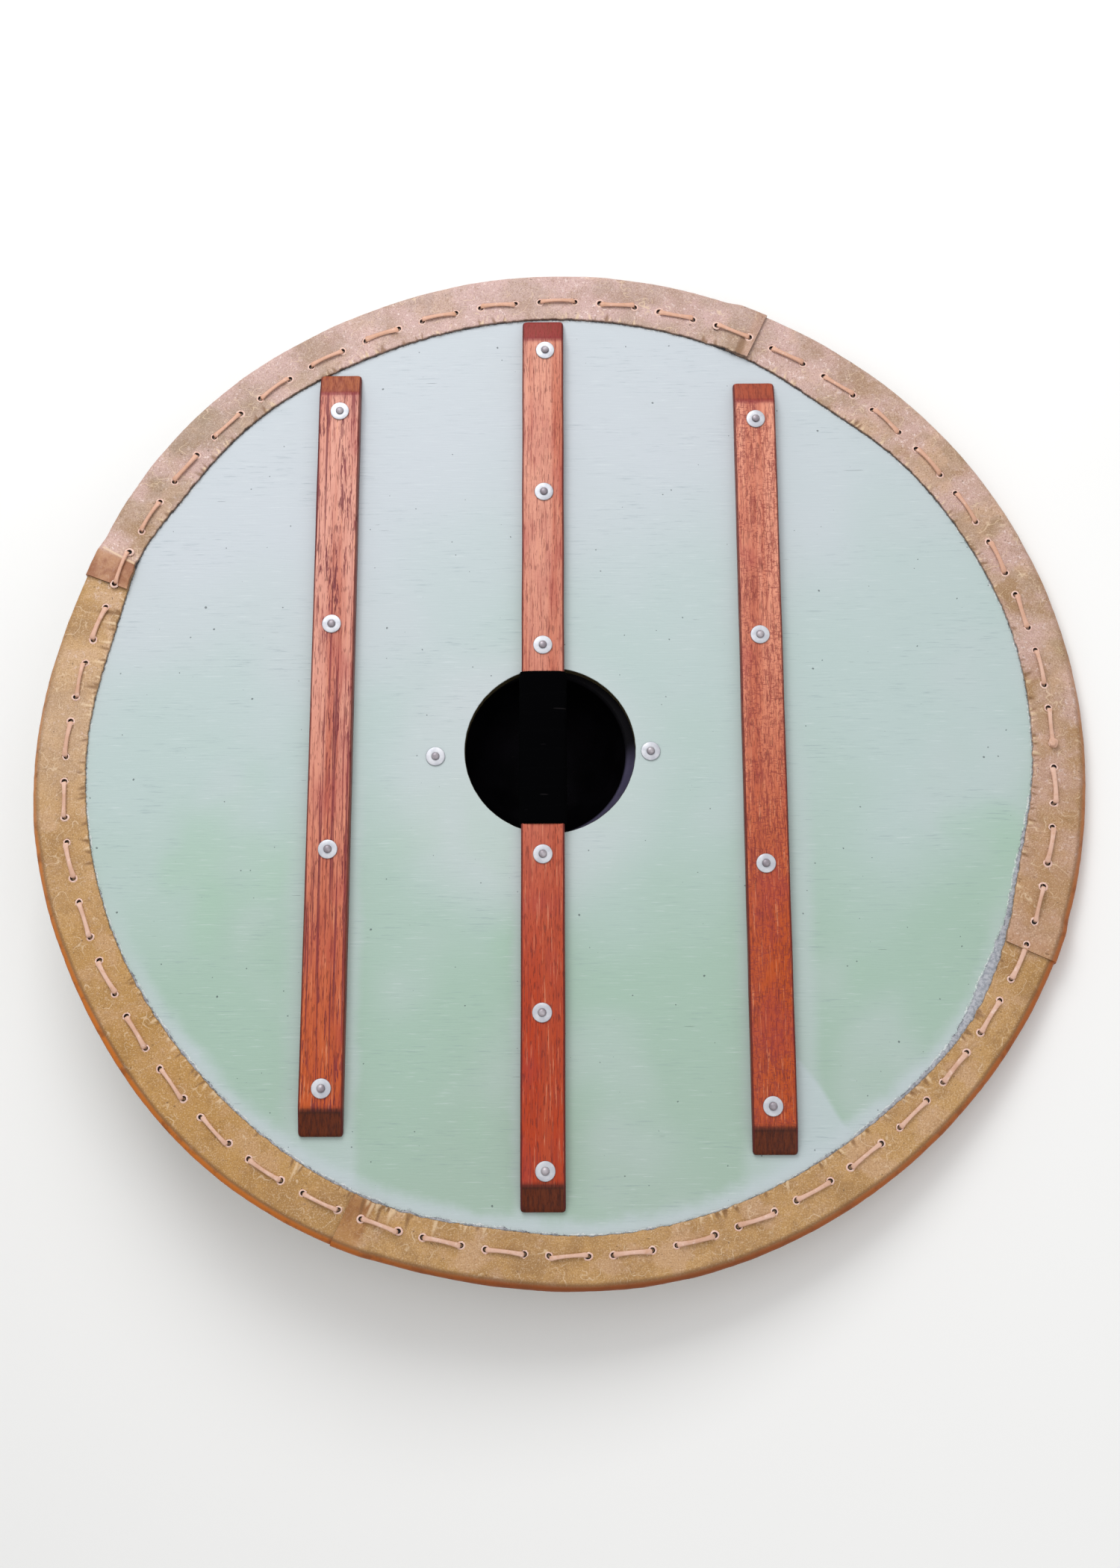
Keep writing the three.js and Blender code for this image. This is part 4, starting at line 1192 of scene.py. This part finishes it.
def make_thong_finish():
    thong = Finish("rawhide_thong", roughness=0.5, specular_ior_level=0.4)
    slow = thong.noise(9, detail=2, shift=1)
    fine = thong.noise(260, detail=4, roughness=0.6)
    warm = (thong.y + (slow - 0.5) * 0.5).rises(-0.05, 0.2)
    thong.base = thong.mix(warm, colour(222, 182, 162), colour(214, 166, 142))
    soiled = thong.noise(45, detail=2, shift=12).rises(0.42, 0.62)
    thong.coat(soiled * 0.6, 202, 156, 130)
    thong.coat(fine.rises(0.5, 0.7) * 0.4, 196, 142, 104)
    thong.coat(fine.rises(0.42, 0.3) * 0.45, 244, 218, 206)
    thong.set(base_color=thong.base, roughness=0.42 + fine * 0.2)
    thong.bump(fine, 0.2)
    return thong.material


def stitch_shape(rise):
    """One stitch along X: out of the left hole, over the leather and down the right one."""
    half = STITCH_LENGTH / 2
    # Place along X, height, and share of the full width
    path = [(-half - 0.85, -7.0, 0.85), (-half - 0.85, -0.6, 0.95)]
    path += [(-half - 0.5, 0.5, 1.1), (-half + 0.9, 1.0, 1.2)]
    path += [(half * t, 0.95 + rise * (1 - t * t), 0.86 + 0.25 * t * t)
             for t in (-0.8, -0.5, -0.2, 0.2, 0.5, 0.8)]
    path += [(-x, z, w) for x, z, w in reversed(path[:4])]
    sides = 8
    points = []
    for i, (x, z, w) in enumerate(path):
        before, after = path[max(0, i - 1)], path[min(len(path) - 1, i + 1)]
        along = Vector((after[0] - before[0], 0, after[1] - before[1])).normalized()
        up = Vector((-along.z, 0, along.x))
        bow = THONG_BOW * math.cos(math.pi * x / STITCH_LENGTH)
        for j in range(sides):
            turn = 2 * math.pi * j / sides
            across = LACE_WIDTH / 2 * w * math.cos(turn) + bow
            thick = LACE_THICKNESS / 2 * math.sin(turn)
            points.append(Vector((x, across, z)) + up * thick)
    return points, flipped(bar_faces(len(path), sides))


def stitch_lift(angle):
    """The leather's extra height where one strip laps over another."""
    for name, start, end, lift_start, lift_end, hide in STRIPS:
        for at in (angle, angle + 360):
            if start <= at <= end:
                return LIFT * max(lifted(at + half_stitch * side, start, end, lift_start, lift_end)
                                  for side in (-1, 0, 1))
    return 0.0


random.seed(3)
thong = make_thong_finish()
back_at = [polar(lace_radius(a), a, LEATHER_BACK + stitch_lift(a % 360) + 0.25) for a in stitches]
back_turns = [(0, 0, math.radians(a + random.choice((90, 270)) + random.gauss(0, 2.6))) for a in stitches]
stretches = [(1, random.uniform(0.86, 1.1), random.uniform(0.8, 1.5)) for _ in stitches]
place_copies("lacing_back", stitch_shape(0.5), thong, "thong", back_at, back_turns, stretches, ["lacing"])

between = [(here + there) / 2 for here, there in zip(stitches, stitches[1:] + [stitches[0] + 360])]
front_at = [polar(lace_radius(a), a, LEATHER_FRONT - stitch_lift(a % 360) - 0.1) for a in between]
front_turns = [(math.pi, 0, math.radians(a + 90)) for a in between]
front_stretches = [(0.84, 1, 0.8)] * STITCH_COUNT
place_copies("lacing_front", stitch_shape(0.2), thong, "thong", front_at, front_turns, front_stretches)

# %% [markdown]
# The two ends of the thong are tied at the first stitch. The knot is small, so a ball does, with a
# groove wound round it where the cords cross.

# %% Knot
KNOT_RADIUS = 3.4


def make_knot():
    """A small knot at the lower hole of the first stitch: a ball with a groove wound round it."""
    angle = stitches[0] - half_stitch - hole_shift
    centre = np.array(polar(lace_radius(angle), angle, LEATHER_BACK + GAP + 0.75 * KNOT_RADIUS))
    rows, columns = 22, 28
    points = []
    for i in range(rows):
        up = math.pi * (i + 0.5) / rows
        for j in range(columns):
            turn = 2 * math.pi * j / columns
            x, y = math.cos(turn), math.sin(turn)
            groove = 0.5 * math.cos(2 * turn + 5 * up) + 0.3 * noise.noise(Vector((x, y, up)) * 2)
            r = KNOT_RADIUS + groove * math.sin(up)
            x, y = math.sin(up) * x, math.sin(up) * y
            points.append(centre + r * np.array((x, y * 1.2, math.cos(up) * 0.75)))
    return new_mesh("lacing_knot", points, bar_faces(rows, columns))


finish_piece(make_knot(), thong)

# %% [markdown]
# The punched holes stretched where the thong pulls, and their lips dried pale. Each one is a small
# cup with a raised lip, painted dark inside as painted shade, let into the leather on both sides of the
# shield.

# %% Lace holes
def make_hole_finish():
    hole = Finish("punched_hole", roughness=0.6)
    depth = hole.mask("depth")
    fine = hole.noise(500, detail=2)
    lip = hole.mix(fine.rises(0.4, 0.6), colour(236, 204, 190), colour(226, 186, 172))
    # The cup's inside is painted near black as painted shade
    hole.set(base_color=hole.mix(depth.rises(0.1, 0.6), lip, colour(18, 10, 8)), roughness=0.5 + fine * 0.2)
    return hole.material


hole_finish = make_hole_finish()
HOLE_SIDES = 16
lip_profile = [(0.3, -2.2), (1.9, -2.1), (2.05, -0.6), (2.2, 0.05), (2.6, 0.32), (3.15, 0.16), (3.8, -0.35),
               (3.4, -1.2), (1.9, -2.7), (0.3, -2.7)]


def hole_shape():
    points, faces = turned(lip_profile, HOLE_SIDES)
    return points, flipped(faces)


def make_holes(name, level, flip):
    lifts = [stitch_lift(a % 360) for a in hole_angles]
    places = [(x, y, level + (-lift if flip else lift)) for (x, y), lift in zip(holes, lifts)]
    turns = [(math.pi if flip else 0, 0, random.uniform(0, 6)) for _ in places]
    sizes = [(random.uniform(0.85, 1.15), random.uniform(0.85, 1.1), 1) for _ in places]
    depth = [1.0 if r < 2.1 else 0.0 for r, _ in lip_profile] * HOLE_SIDES
    place_copies(name, hole_shape(), hole_finish, "rawhide", places, turns, sizes, depth=depth)


make_holes("lace_holes_back", LEATHER_BACK, False)
make_holes("lace_holes_front", LEATHER_FRONT, True)

# %% [markdown]
# ## Ground and light
# A pale floor, one broad light from the top of the picture, and two weaker ones to open the shadows.

# %% Stage
FLOOR_SIZE = 12.0


def make_floor():
    half = FLOOR_SIZE / 2
    corners = [(x * half, y * half, 0.0) for x, y in ((-1, -1), (1, -1), (1, 1), (-1, 1))]
    mesh = bpy.data.meshes.new("floor")
    mesh.from_pydata(corners, [], [(0, 1, 2, 3)])
    floor = new_object("floor", mesh)
    finish = Finish("pale_floor", roughness=0.9)
    finish.set(base_color=colour(244, 244, 243))
    mesh.materials.append(finish.material)


def add_light(name, at, size, power):
    lamp = bpy.data.lights.new(name, "AREA")
    lamp.size, lamp.energy = size, power
    light = new_object(name, lamp)
    light.location = at
    light.rotation_euler = (-Vector(at)).to_track_quat("-Z", "Y").to_euler()


make_floor()
add_light("key", (-0.35, 1.5, 1.7), 1.3, 30)
add_light("fill", (1.4, -1.2, 1.8), 2.0, 9)
add_light("sky", (0.0, 0.0, 2.9), 3.0, 14)
world = bpy.data.worlds.new("studio")
world.use_nodes = True
background = world.node_tree.nodes["Background"]
background.inputs["Color"].default_value = (1.0, 1.0, 1.0, 1.0)
background.inputs["Strength"].default_value = 0.5
bpy.context.scene.world = world
bpy.context.scene.view_settings.view_transform = "Standard"
print(len(bpy.data.lights), "lights")

# %% [markdown]
